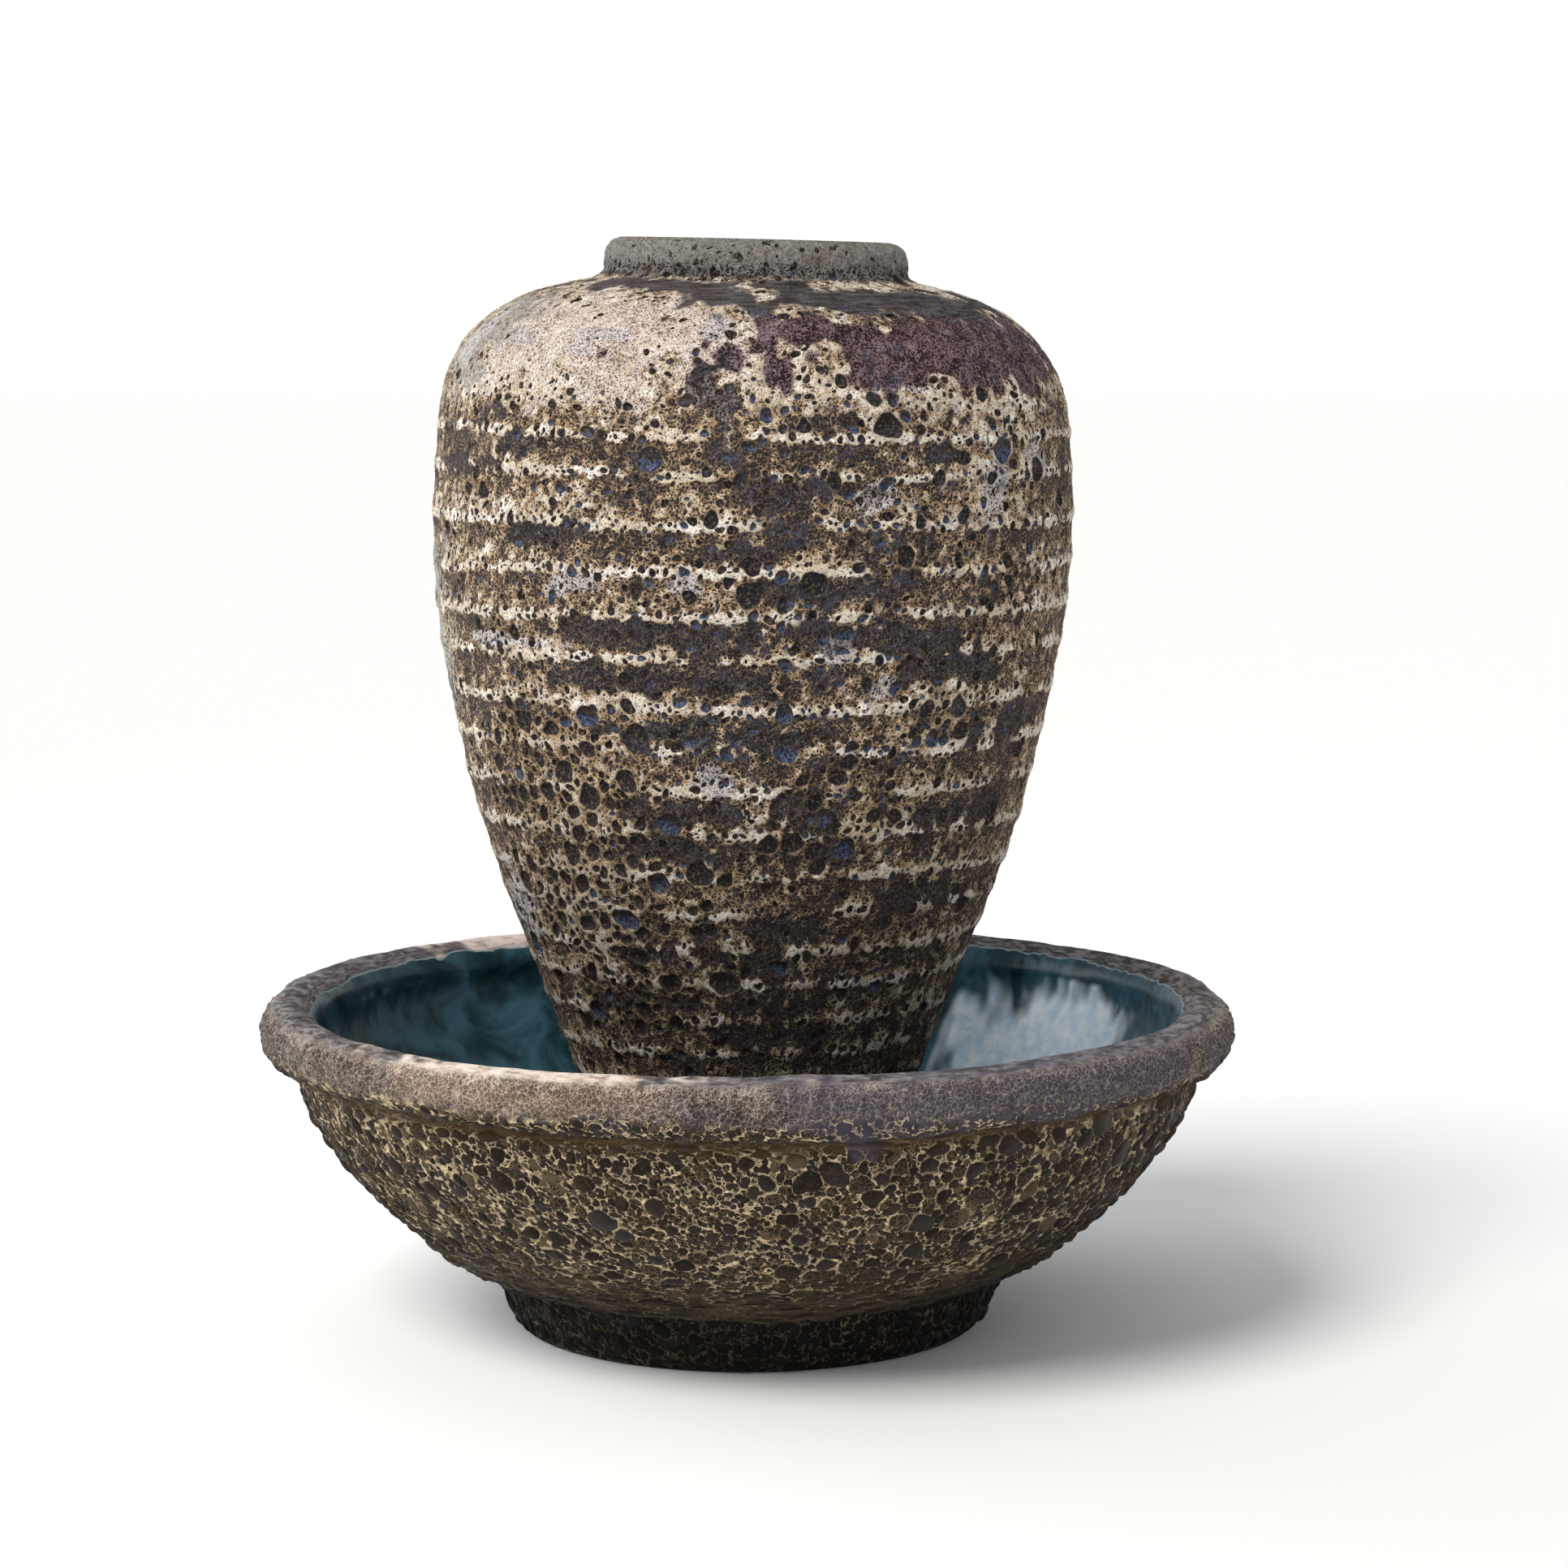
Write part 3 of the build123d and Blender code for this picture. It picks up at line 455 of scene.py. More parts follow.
def make_jar():
    """The jar with its ribs, its crater glaze and the fields that its material reads."""
    body = jar_body()
    rows = body.rows("outside")
    turn, height = body.turn, body.height[rows]
    shape = (len(height), body.columns)
    soft, wander, rough, fine = (
        cloud(shape, JAR_SPACING, size, seed) for seed, size in enumerate((90, 26, 9, 4.5), 1)
    )
    around = cloud(shape, JAR_SPACING, 60, 5, 2.0)
    ribs, below = jar_ribs(body, rows, around, rough)
    neck = JAR_TOP - COLLAR_HEIGHT
    upper = smooth_step(height, *UPPER_HEIGHTS)[:, None]
    lower = 1 - smooth_step(height, *LOWER_HEIGHTS)[:, None]
    collar = smooth_step(height, neck, neck + 4)[:, None]

    edge_noise = 0.22 * wander + 0.12 * rough
    zones = {name: zone(turn, height, places, edge_noise * 1.3) for name, places in JAR_ZONES.items()}
    night_noise = 0.26 + 0.32 * around + 0.36 * wander + 0.26 * rough + 0.10 * fine
    zones["night"] = zone(turn, height, JAR_ZONES["night"], night_noise)
    zones["slate"] *= 1 - collar
    zones["maroon"] *= 1 - collar
    pale, night, glassy = zones["pale"], zones["night"], zones["glassy"]

    crest = smooth_step(ribs + 0.08 * rough + 0.15 * fine + 0.06 * wander, 0.42, 0.98) * (1 - upper)
    crest *= smooth_step(0.6 * wander + 0.5 * soft - 0.8 * lower - 0.9 * night + 1.4, 0.0, 0.8)
    cover = 0.31 + 0.08 * soft + 0.10 * wander + 0.13 * rough + 0.11 * fine
    # Cover is lowest just under each rib, so the band there is darker: partly darker glaze, partly
    # painted shade below the rib
    cover += 0.26 * smooth_step(below, 8, 32) - 0.16 + 0.16 * upper
    cover += 0.28 * zones.pop("creamy") + 0.14 * zones["ochre"]
    cover = np.maximum(cover, 1.02 * crest)
    collar_cover = 0.34 + 0.50 * smooth_step(height, neck + 5, neck + 20)[:, None]
    for strength, value in (
        (0.9 * pale, 0.76 + 0.10 * wander), (0.9 * zones["maroon"], 0.40 + 0.12 * rough),
        (collar, collar_cover), (0.8 * night, 0.12), (zones["slate"], 0.7),
        (0.7 * zones["blotch"], 0.72), (zones["sage"], 0.80 + 0.1 * rough),
    ):
        cover = cover + (value - cover) * strength
    cover = np.clip(cover, 0, 1.1)

    foam = Foam(body, rows, 11)
    foam.uneven(JAR_SPACING, 14, 2.6, 12)
    foam.uneven(JAR_SPACING, 6, 1.2, 14)
    plain = np.maximum(collar * 0.9, zones["slate"])
    clear = (1 - plain) * (1 - 0.96 * pale) * (1 - 0.8 * zones["maroon"])
    ochre = zones["ochre"]
    tan_ground = smooth_step(cover, 0.25, 0.6)
    on_rib = glassy * smooth_step(ribs, 0.2, 0.7)
    on_crest = 0.35 * crest * (1 - lower)
    foam.scatter(3200, 7.0, 12.5, clear * (0.03 + 0.55 * ochre + 0.04 * glassy), 0.05)
    foam.scatter(12000, 4.2, 7.4, clear * (0.06 + 0.75 * ochre + 0.16 * on_rib + 0.05 * glassy), 0.05)
    foam.scatter(36000, 2.6, 4.4, clear * (0.07 + 0.12 * tan_ground + 0.80 * ochre + 0.34 * on_rib))
    foam.scatter(90000, 1.7, 2.7, clear * (0.06 + 0.16 * tan_ground + 1.3 * on_crest + 0.45 * ochre))
    near_collar = np.exp(-((height[:, None] - neck - 6) / 3.5) ** 2)
    foam.scatter(16000, 2.4, 6.0, 0.8 * near_collar, 0.35)
    foam.scatter(9000, 1.7, 3.0, 0.5 * collar, 0.25)

    edge = foam.edge()
    relief = foam.relief(edge, 0.5, 4.0, 0.5)
    relief += RIB_RISE * ribs * np.clip(1 + 0.3 * around, 0.4, 1.6) * (1 - upper)
    relief += 0.5 * soft + 0.25 * wander + (0.25 * rough + 0.15 * fine) * (1 - 0.6 * zones["slate"])
    relief += 0.4 * smooth_step(cover, 0.3, 0.9) * (1 - collar)
    settle = JAR_SETTLE - (JAR_SETTLE - SHOULDER_SETTLE) * smooth_step(height, *SETTLE_HEIGHTS)[:, None]
    relief -= settle + (COLLAR_SETTLE - settle) * collar
    body.rise[rows] = relief * smooth_step(height, JAR_BASE, JAR_BASE + 14)[:, None]

    body.keep(rows, pit=edge, size=foam.size, tone=foam.tone, drop=foam.drop, raw=0.0)
    body.keep(rows, cover=cover, collar=collar, lower=lower, **zones)
    body.keep(body.rows("lip"), raw=0.0, collar=1.0, cover=0.85)

    x, y, z = body.surface()
    lean = (body.height[:, None] - JAR_BASE) / (JAR_TOP - JAR_BASE) * JAR_LEAN
    tilt = SHOULDER_TILT * smooth_step(body.height, *TILT_HEIGHTS)[:, None] * x
    shares = texture_rows(body, (
        (["outside"], 0.84), (["lip"], 0.04), (["inside", "floor", "hole", "under"], 0.12),
    ))
    piece = build_mesh("jar_glazed", body, x + lean, y, z - tilt, shares)
    piece.data.materials.append(jar_glaze())
    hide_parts("jar")
    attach(piece, "jar_assembly")


def basin_body():
    """Rings of the basin: floor, inside, rim, bowl, foot, the hollow under it, and the drain hole."""
    bead = (BASIN_RADIUS - BEAD_RADIUS, BASIN_HEIGHT - BEAD_RADIUS)
    start = (FOOT_TOP_RADIUS + FOOT_LEDGE, FOOT_HEIGHT)
    run, rise = bead[0] - start[0], bead[1] - start[1]
    bowl = spline([start] + [(start[0] + run * a, start[1] + rise * b) for a, b in BOWL_SHARES] + [bead])
    wall = spline(
        [(FLOOR_FLAT_RADIUS - FLOOR_LEVEL_WIDTH, FLOOR_TOP), (FLOOR_FLAT_RADIUS, FLOOR_TOP)]
        + list(inside(bowl, BOWL_WALL, BOWL_INSIDE_SHARES))
        + [(bead[0] - BEAD_RADIUS, bead[1] - INSIDE_UPRIGHT), (bead[0] - BEAD_RADIUS, bead[1])]
    )
    clear = bowl[np.hypot(*(bowl - bead).T) > BEAD_RADIUS]
    join = math.degrees(math.atan2(clear[-1][1] - bead[1], clear[-1][0] - bead[0]))
    rim = arc(bead, BEAD_RADIUS, 180, join, 120)
    outside = np.concatenate((
        rim,
        clear[::-1],
        [(FOOT_TOP_RADIUS, FOOT_HEIGHT)],
        [(FOOT_RADIUS + FOOT_EDGE * 0.38, FOOT_EDGE)],
        arc((FOOT_RADIUS - FOOT_EDGE, FOOT_EDGE), FOOT_EDGE, 0, -90, 12),
    ))
    ground = [outside[-1], (FOOT_INNER_RADIUS, 0)]
    hollow = [ground[-1], (FOOT_INNER_RADIUS, FLOOR_UNDERSIDE)]
    under = [hollow[-1], (DRAIN_RADIUS, FLOOR_UNDERSIDE)]
    drain = [under[-1], (DRAIN_RADIUS, FLOOR_TOP)]
    floor = [drain[-1], wall[0]]
    stretches = [
        ("floor", spaced(floor, 9.0)),
        ("inside", spaced(wall, 3.5)),
        ("outside", rounded(spaced(outside, BASIN_SPACING), 2)),
        ("ground", spaced(ground, 5.0)),
        ("hollow", spaced(hollow, 5.0)),
        ("under", spaced(under, 12.0)),
        ("drain", spaced(drain, 5.0)),
    ]
    return Body(stretches, round(2 * math.pi * BASIN_RADIUS / BASIN_SPACING)), bead


def drain_shift(body):
    """How far each ring's centre lies towards the drain hole."""
    shift = np.zeros(len(body.names))
    for name in ("floor", "under"):
        rows = body.rows(name)
        radius = body.radius[rows]
        shift[rows] = (radius.max() - radius) / (radius.max() - DRAIN_RADIUS) * DRAIN_OFFSET
    shift[body.rows("drain")] = DRAIN_OFFSET
    return shift


def make_basin():
    """The basin with its rolled rim, its crater glaze outside and its smooth glaze inside."""
    body, bead = basin_body()
    rows = body.rows("outside")
    height, radius = body.height[rows], body.radius[rows]
    shape = (len(height), body.columns)
    turn = body.turn
    soft, wander, rough, fine = (
        cloud(shape, BASIN_SPACING, size, seed, stretch)
        for seed, size, stretch in ((21, 120, 1.6), (22, 30, 1.3), (23, 9, 1.0), (24, 4.5, 1.0))
    )

    on_rim = np.hypot(radius - bead[0], height - bead[1]) < BEAD_RADIUS + 1.5
    lean = np.degrees(np.arctan2(height - bead[1], radius - bead[0]))
    worn = np.where(on_rim[:, None], smooth_step(lean[:, None] + 3 * rough, 44, 66), 0)
    pitted = np.where(on_rim[:, None], smooth_step(lean[:, None] + 9 * wander, -34, -8), 0)
    grade = np.where(on_rim, smooth_step(lean, 5, 92), 0)[:, None]
    cove = np.exp(-((height - COVE_HEIGHT) / 8.0) ** 2)[:, None] * (~on_rim)[:, None]
    low = (1 - smooth_step(height, *STRATA_AND_SHADE_HEIGHTS))[:, None]
    foot = (1 - smooth_step(height, FOOT_HEIGHT - 1, FOOT_HEIGHT + 1))[:, None]
    undercut = np.exp(-((height - FOOT_HEIGHT) / 4.0) ** 2)[:, None]

    edge_noise = 0.22 * wander + 0.12 * rough
    web = smooth_step(0.5 * soft + 0.8 * wander, 0.2, 1.4) * (1 - 0.5 * low)
    flat = 1 + 1.1 * (low[:, 0] * (1 - foot[:, 0])) + 1.2 * cove[:, 0]
    calm = (1 - worn) * (1 - 0.6 * cove)
    foam = Foam(body, rows, 31)
    foam.uneven(BASIN_SPACING, 16, 3.0, 32)
    foam.uneven(BASIN_SPACING, 7, 1.2, 34)
    bowl = calm * (1 - pitted) * (1 - 0.55 * web)
    coarse = smooth_step(cloud(shape, BASIN_SPACING, 55, 25, 1.3), -0.5, 0.9)
    large = bowl * (1 - 0.85 * on_rim[:, None])
    largest = large * (1 - 0.4 * foot) * (1 - 0.8 * low)
    foam.scatter(4000, 8.0, 12.5, (0.05 + 0.22 * coarse) * largest, 0.1, flat)
    foam.scatter(14000, 5.0, 8.0, (0.14 + 0.42 * coarse) * large * (1 - 0.3 * low), 0.05, flat)
    foam.scatter(40000, 3.0, 5.0, (0.30 + 0.34 * coarse) * bowl, 0.05, flat)
    foam.scatter(150000, 1.7, 3.0, calm * (0.06 + 0.70 * (1 - pitted)) * (1 - 0.4 * web), 0.05, flat)

    edge = foam.edge(1.2)
    relief = foam.relief(edge, 0.55, 4.2, 0.8)
    relief += 0.8 * soft + 0.4 * wander + (0.25 * rough + 0.12 * fine) * (1 - 0.7 * worn)
    relief -= 2.0 * undercut
    ends = smooth_step(lean + 180 * (~on_rim), -200, -199)[:, None]
    ends = ends * smooth_step(height, 0, 10)[:, None]
    body.rise[rows] = relief * smooth_step(np.arange(len(height)), 0, 6)[:, None] * ends

    body.keep(rows, pit=edge, tone=foam.tone, worn=worn, fine_pits=pitted, grade=grade, raw=0.0)
    body.keep(rows, cove=cove, foot=foot, web=web, low=low * (1 - foot))
    for name in ("rosy", "violet", "shaded_side"):
        body.keep(rows, **{name: zone(turn, height, BASIN_ZONES[name], edge_noise)})
    rim_edge = smooth_step(lean[:, None] + 3 * wander + 2 * rough, 134, 141)
    body.keep(rows, glossy=np.where(on_rim[:, None], rim_edge, 0))

    inner = body.rows("floor", "inside")
    inner_shape = (inner.stop - inner.start, body.columns)
    swell = cloud(inner_shape, 3.5, 80, 41)
    lumps = cloud(inner_shape, 3.5, 24, 42)
    top = smooth_step(body.height[inner], 225, 262)[:, None]
    inner_relief = 0.6 * swell + (0.12 + 0.7 * top) * lumps
    body.rise[inner] = inner_relief * smooth_step(body.height[inner], 90, 130)[:, None]
    # Where the inside gets its painted reflection of the sky
    milk = zone(turn, body.height[inner], BASIN_ZONES["milk"], 0.10 * swell + 0.12 * lumps)
    body.keep(inner, glossy=1.0, milk=milk, raw=0.0)

    x, y, z = body.surface()
    x -= drain_shift(body)[:, None]
    half = NOTCH_WIDTH / 2
    roof = NOTCH_HEIGHT - half + np.sqrt(np.maximum(half**2 - x**2, 0))
    roof = np.where((np.abs(x) < half) & (y > 0), roof, 0)
    wall = np.isin(body.names, ["outside", "ground", "hollow"])[:, None] & (z < FOOT_HEIGHT)
    z = np.where(wall, roof + z * (1 - roof / FOOT_HEIGHT), z)
    shares = texture_rows(body, (
        (["floor", "under", "drain", "ground", "hollow"], 0.14), (["inside"], 0.24),
        (["outside"], 0.62),
    ))
    piece = build_mesh("basin_glazed", body, x, y, z, shares)
    piece.data.materials.append(basin_glaze())
    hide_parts("basin")
    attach(piece, "base")


class Look:
    """Short calls that build one material's nodes. Lengths are in millimetres."""

    def __init__(self, name):
        self.material = bpy.data.materials.new(name)
        self.material.use_nodes = True
        self.tree = self.material.node_tree
        self.shader = self.tree.nodes["Principled BSDF"]
        inputs = {0: self.node("TexCoord").outputs["Object"], "Scale": 1 / MM}
        self.place = self.node("VectorMath", inputs, operation="SCALE").outputs[0]

    def node(self, kind, inputs=(), **settings):
        """A new node with its settings made and its inputs fed, by their names or numbers."""
        node = self.tree.nodes.new("ShaderNode" + kind)
        for name, value in settings.items():
            setattr(node, name, value)
        for name, value in dict(inputs).items():
            self.feed(node.inputs[name], value)
        return node

    def feed(self, socket, value):
        """Links a node's output to the socket, or sets it to a number or an opaque colour."""
        if isinstance(value, bpy.types.NodeSocket):
            self.tree.links.new(value, socket)
        else:
            socket.default_value = (*value, 1.0) if isinstance(value, tuple) else value

    def math(self, operation, first, second):
        return self.node("Math", {0: first, 1: second}, operation=operation).outputs[0]

    times = partialmethod(math, "MULTIPLY")
    plus = partialmethod(math, "ADD")
    minus = partialmethod(math, "SUBTRACT")
    most = partialmethod(math, "MAXIMUM")

    def step(self, value, low, high, start=0.0, end=1.0):
        """start below low, end above high, with an even S between them."""
        inputs = {"Value": value, "From Min": low, "From Max": high, "To Min": start, "To Max": end}
        return self.node("MapRange", inputs, interpolation_type="SMOOTHSTEP").outputs["Result"]

    def mix(self, share, first, second):
        inputs = {"Factor": share, "A": first, "B": second}
        return self.node("Mix", inputs, data_type="RGBA").outputs["Result"]

    def over(self, base, mask, colour, strength=1.0):
        """The base with a colour laid over it where the mask is 1."""
        if strength != 1.0:
            mask = self.times(mask, strength)
        return self.mix(mask, base, colour)

    def stretched(self, across, up):
        """Places with sideways and upright distances multiplied, for flat or tall grain."""
        node = self.node("VectorMath", {0: self.place}, operation="MULTIPLY")
        node.inputs[1].default_value = (across, across, up)
        return node.outputs[0]

    def warped(self, across, up, reach):
        """Places pushed by two noises times a reach, so that cells are less even."""
        across, up = (self.times(noise, reach) for noise in (across, up))
        push = self.node("CombineXYZ", {"X": across, "Y": up, "Z": across}).outputs[0]
        return self.node("VectorMath", {0: self.place, 1: push}, operation="ADD").outputs[0]

    def noise(self, size, detail, roughness, place=None, warp=0.0):
        inputs = {"Vector": place or self.place, "Scale": 1 / size, "Detail": detail}
        inputs |= {"Roughness": roughness, "Distortion": warp}
        return self.node("TexNoise", inputs).outputs["Fac"]

    def cells(self, size, feature="F1", place=None):
        inputs = {"Vector": place or self.place, "Scale": 1 / size}
        return self.node("TexVoronoi", inputs, feature=feature).outputs

    def field(self, name):
        return self.node("Attribute", attribute_name=name).outputs["Fac"]

    def frayed(self, name, grain):
        """A field whose soft edge is broken up into grains."""
        return self.step(self.plus(self.field(name), self.minus(grain, 0.5)), 0.25, 0.75)

    def below(self, value, limit, edge):
        """1 where the value is under the limit, with a soft edge."""
        return self.step(self.minus(value, limit), -edge, edge, 1.0, 0.0)

    def finish(self, colour, roughness, height, depth):
        """Gives the shader its colour, its roughness and a bump of a depth, and ends the material."""
        bump = self.node("Bump", {"Strength": 1.0, "Distance": depth * MM, "Height": height})
        self.feed(self.shader.inputs["Normal"], bump.outputs["Normal"])
        self.feed(self.shader.inputs["Base Color"], colour)
        self.feed(self.shader.inputs["Roughness"], roughness)
        return self.material

    def fired(self, colour, roughness, grain, height):
        """Ends a glaze: bare clay where the raw field says so, and a weak sheen."""
        clay = self.mix(grain, (0.16, 0.10, 0.06), (0.26, 0.17, 0.11))
        self.shader.inputs["Specular IOR Level"].default_value = GLAZE_SPECULAR
        return self.finish(self.mix(self.field("raw"), colour, clay), roughness, height, 1.0)


def jar_glaze():
    """Crater glaze of the jar. Its cover runs from a thin net over dark pits to pale solid glaze."""
    look = Look("jar_glaze")
    mix, over, step, below, field = look.mix, look.over, look.step, look.below, look.field
    times, plus, minus, most = look.times, look.plus, look.minus, look.most
    noise, cells = look.noise, look.cells
    pit, size, tone, drop, cover = (field(name) for name in ("pit", "size", "tone", "drop", "cover"))
    glassy = field("glassy")
    grain = noise(2.6, 4.0, 0.7)
    speck = noise(1.1, 2.0, 0.6)
    drift = noise(38.0, 3.0, 0.6)
    broken = noise(8.0, 5.0, 0.68)
    patchy = noise(19.0, 3.0, 0.6)
    streak = noise(8.0, 4.0, 0.7, look.stretched(0.3, 4.0))
    uneven = plus(times(broken, 0.8), times(grain, 0.5))
    share = plus(cover, minus(uneven, 0.65))

    tiny = cells(1.3)["Distance"]
    pores = cells(2.4)
    medium = cells(4.6)["Distance"]
    chosen = step(noise(17.0, 2.0, 0.5), 0.46, 0.54)
    tiny_pits = below(tiny, step(share, 0.0, 1.0, 0.5, 0.26), 0.08)
    small_pits = below(pores["Distance"], step(share, 0.0, 1.0, 0.53, 0.24), 0.07)
    medium_pits = below(medium, step(share, 0.1, 1.0, 0.46, 0.14), 0.05)
    pits = most(small_pits, times(medium_pits, chosen))
    pits = most(pits, times(tiny_pits, 0.8))

    dim = mix(drift, (0.145, 0.096, 0.062), (0.36, 0.255, 0.175))
    tan = mix(step(broken, 0.4, 0.65), (0.37, 0.24, 0.135), (0.69, 0.52, 0.335))
    cream = mix(step(drift, 0.35, 0.7), (0.7, 0.59, 0.45), (0.94, 0.885, 0.81))
    net = mix(step(share, 0.1, 0.45), dim, tan)
    net = mix(step(share, 0.48, 0.9), net, cream)
    net = over(net, field("ochre"), (0.38, 0.26, 0.13), 0.45)
    net = over(net, step(patchy, 0.6, 0.68), (0.44, 0.35, 0.19), 0.4)
    rosy = mix(broken, (0.52, 0.405, 0.355), (0.97, 0.88, 0.82))
    rosy = over(rosy, step(patchy, 0.34, 0.44, 1.0, 0.0), (0.62, 0.48, 0.28), 0.5)
    pale, maroon, night = (look.frayed(name, grain) for name in ("pale", "maroon", "night"))
    net = over(net, pale, rosy, 0.85)
    wine = mix(broken, (0.09, 0.048, 0.062), (0.3, 0.2, 0.24))
    net = over(net, maroon, wine, 0.92)
    taupe = mix(broken, (0.11, 0.108, 0.102), (0.39, 0.385, 0.37))
    taupe = over(taupe, step(patchy, 0.56, 0.64), (0.17, 0.14, 0.11), 0.6)
    net = mix(field("collar"), net, taupe)
    net = over(net, field("sage"), mix(broken, (0.2, 0.2, 0.17), (0.48, 0.49, 0.45)), 0.8)
    milk = mix(patchy, (0.72, 0.66, 0.58), (0.56, 0.56, 0.66))
    torn = plus(field("blotch"), times(plus(broken, grain), 1.3))
    net = over(net, step(torn, 1.9, 2.25), milk, 0.8)
    glint = times(step(speck, 0.58, 0.72), step(broken, 0.45, 0.6))
    ash = mix(step(grain, 0.42, 0.66), (0.004, 0.004, 0.007), (0.055, 0.048, 0.056))
    ash = over(ash, glint, (0.42, 0.39, 0.4))
    net = over(net, night, ash, 0.6)
    stone = mix(step(streak, 0.36, 0.64), (0.01, 0.01, 0.013), (0.125, 0.123, 0.142))
    stone = over(stone, glint, (0.34, 0.31, 0.3), 0.7)
    net = mix(field("slate"), net, stone)
    shade = step(pores["Color"], 0.15, 0.9, 0.3, 0.0)
    net = over(net, shade, (0.05, 0.035, 0.028))

    deep = mix(drift, (0.007, 0.0055, 0.006), (0.028, 0.0215, 0.022))
    deep = over(deep, step(speck, 0.56, 0.66), (0.2, 0.15, 0.105), 0.6)
    deep = over(deep, step(share, 0.45, 0.85), (0.2, 0.122, 0.068), 0.75)
    deep = over(deep, pale, (0.17, 0.105, 0.07), 0.8)
    deep = over(deep, maroon, (0.02, 0.008, 0.01))
    deep = over(deep, night, ash, 0.9)
    colour = mix(pits, net, deep)

    lip = times(step(pit, -1.0, 0.0), step(pit, 0.0, 0.8, 1.0, 0.0))
    colour = mix(times(lip, step(share, 0.0, 0.5, 0.3, 0.85)), colour, net)
    bottom = mix(tone, (0.006, 0.005, 0.005), (0.042, 0.033, 0.032))
    bottom = over(bottom, step(size, 3.5, 8.0), (0.02, 0.017, 0.02), 0.6)
    bottom = over(bottom, step(grain, 0.5, 0.66), (0.16, 0.122, 0.092))
    inside_pit = step(pit, 0.0, 0.9)
    colour = mix(inside_pit, colour, bottom)
    # Pooled glassy glaze in the lower half of some craters; its bluish lightness is partly a painted sky
    # reflection
    chance = plus(tone, times(glassy, 0.3))
    wet = step(plus(drop, times(broken, 0.6)), 0.12, 0.45)
    wet = times(times(wet, inside_pit), step(chance, 0.8, 0.9))
    pool_and_reflection = mix(step(grain, 0.35, 0.65), (0.006, 0.008, 0.017), (0.105, 0.135, 0.225))
    colour = mix(wet, colour, pool_and_reflection)
    bluish = times(step(patchy, 0.38, 0.46, 1.0, 0.0), step(glassy, 0.0, 1.0, 0.2, 0.8))
    colour = over(colour, bluish, (0.066, 0.07, 0.115), 0.34)
    # Painted shade: darker towards the bottom, where the basin shades the jar, partly also a darker glaze
    colour = over(colour, field("lower"), (0.014, 0.01, 0.007), 0.42)
    shine = most(wet, times(inside_pit, step(tone, 0.7, 0.8, 0.0, 0.6)))
    height = plus(times(pits, -0.8), times(grain, 0.5))
    return look.fired(colour, step(shine, 0.0, 1.0, 0.78, 0.12), grain, height)


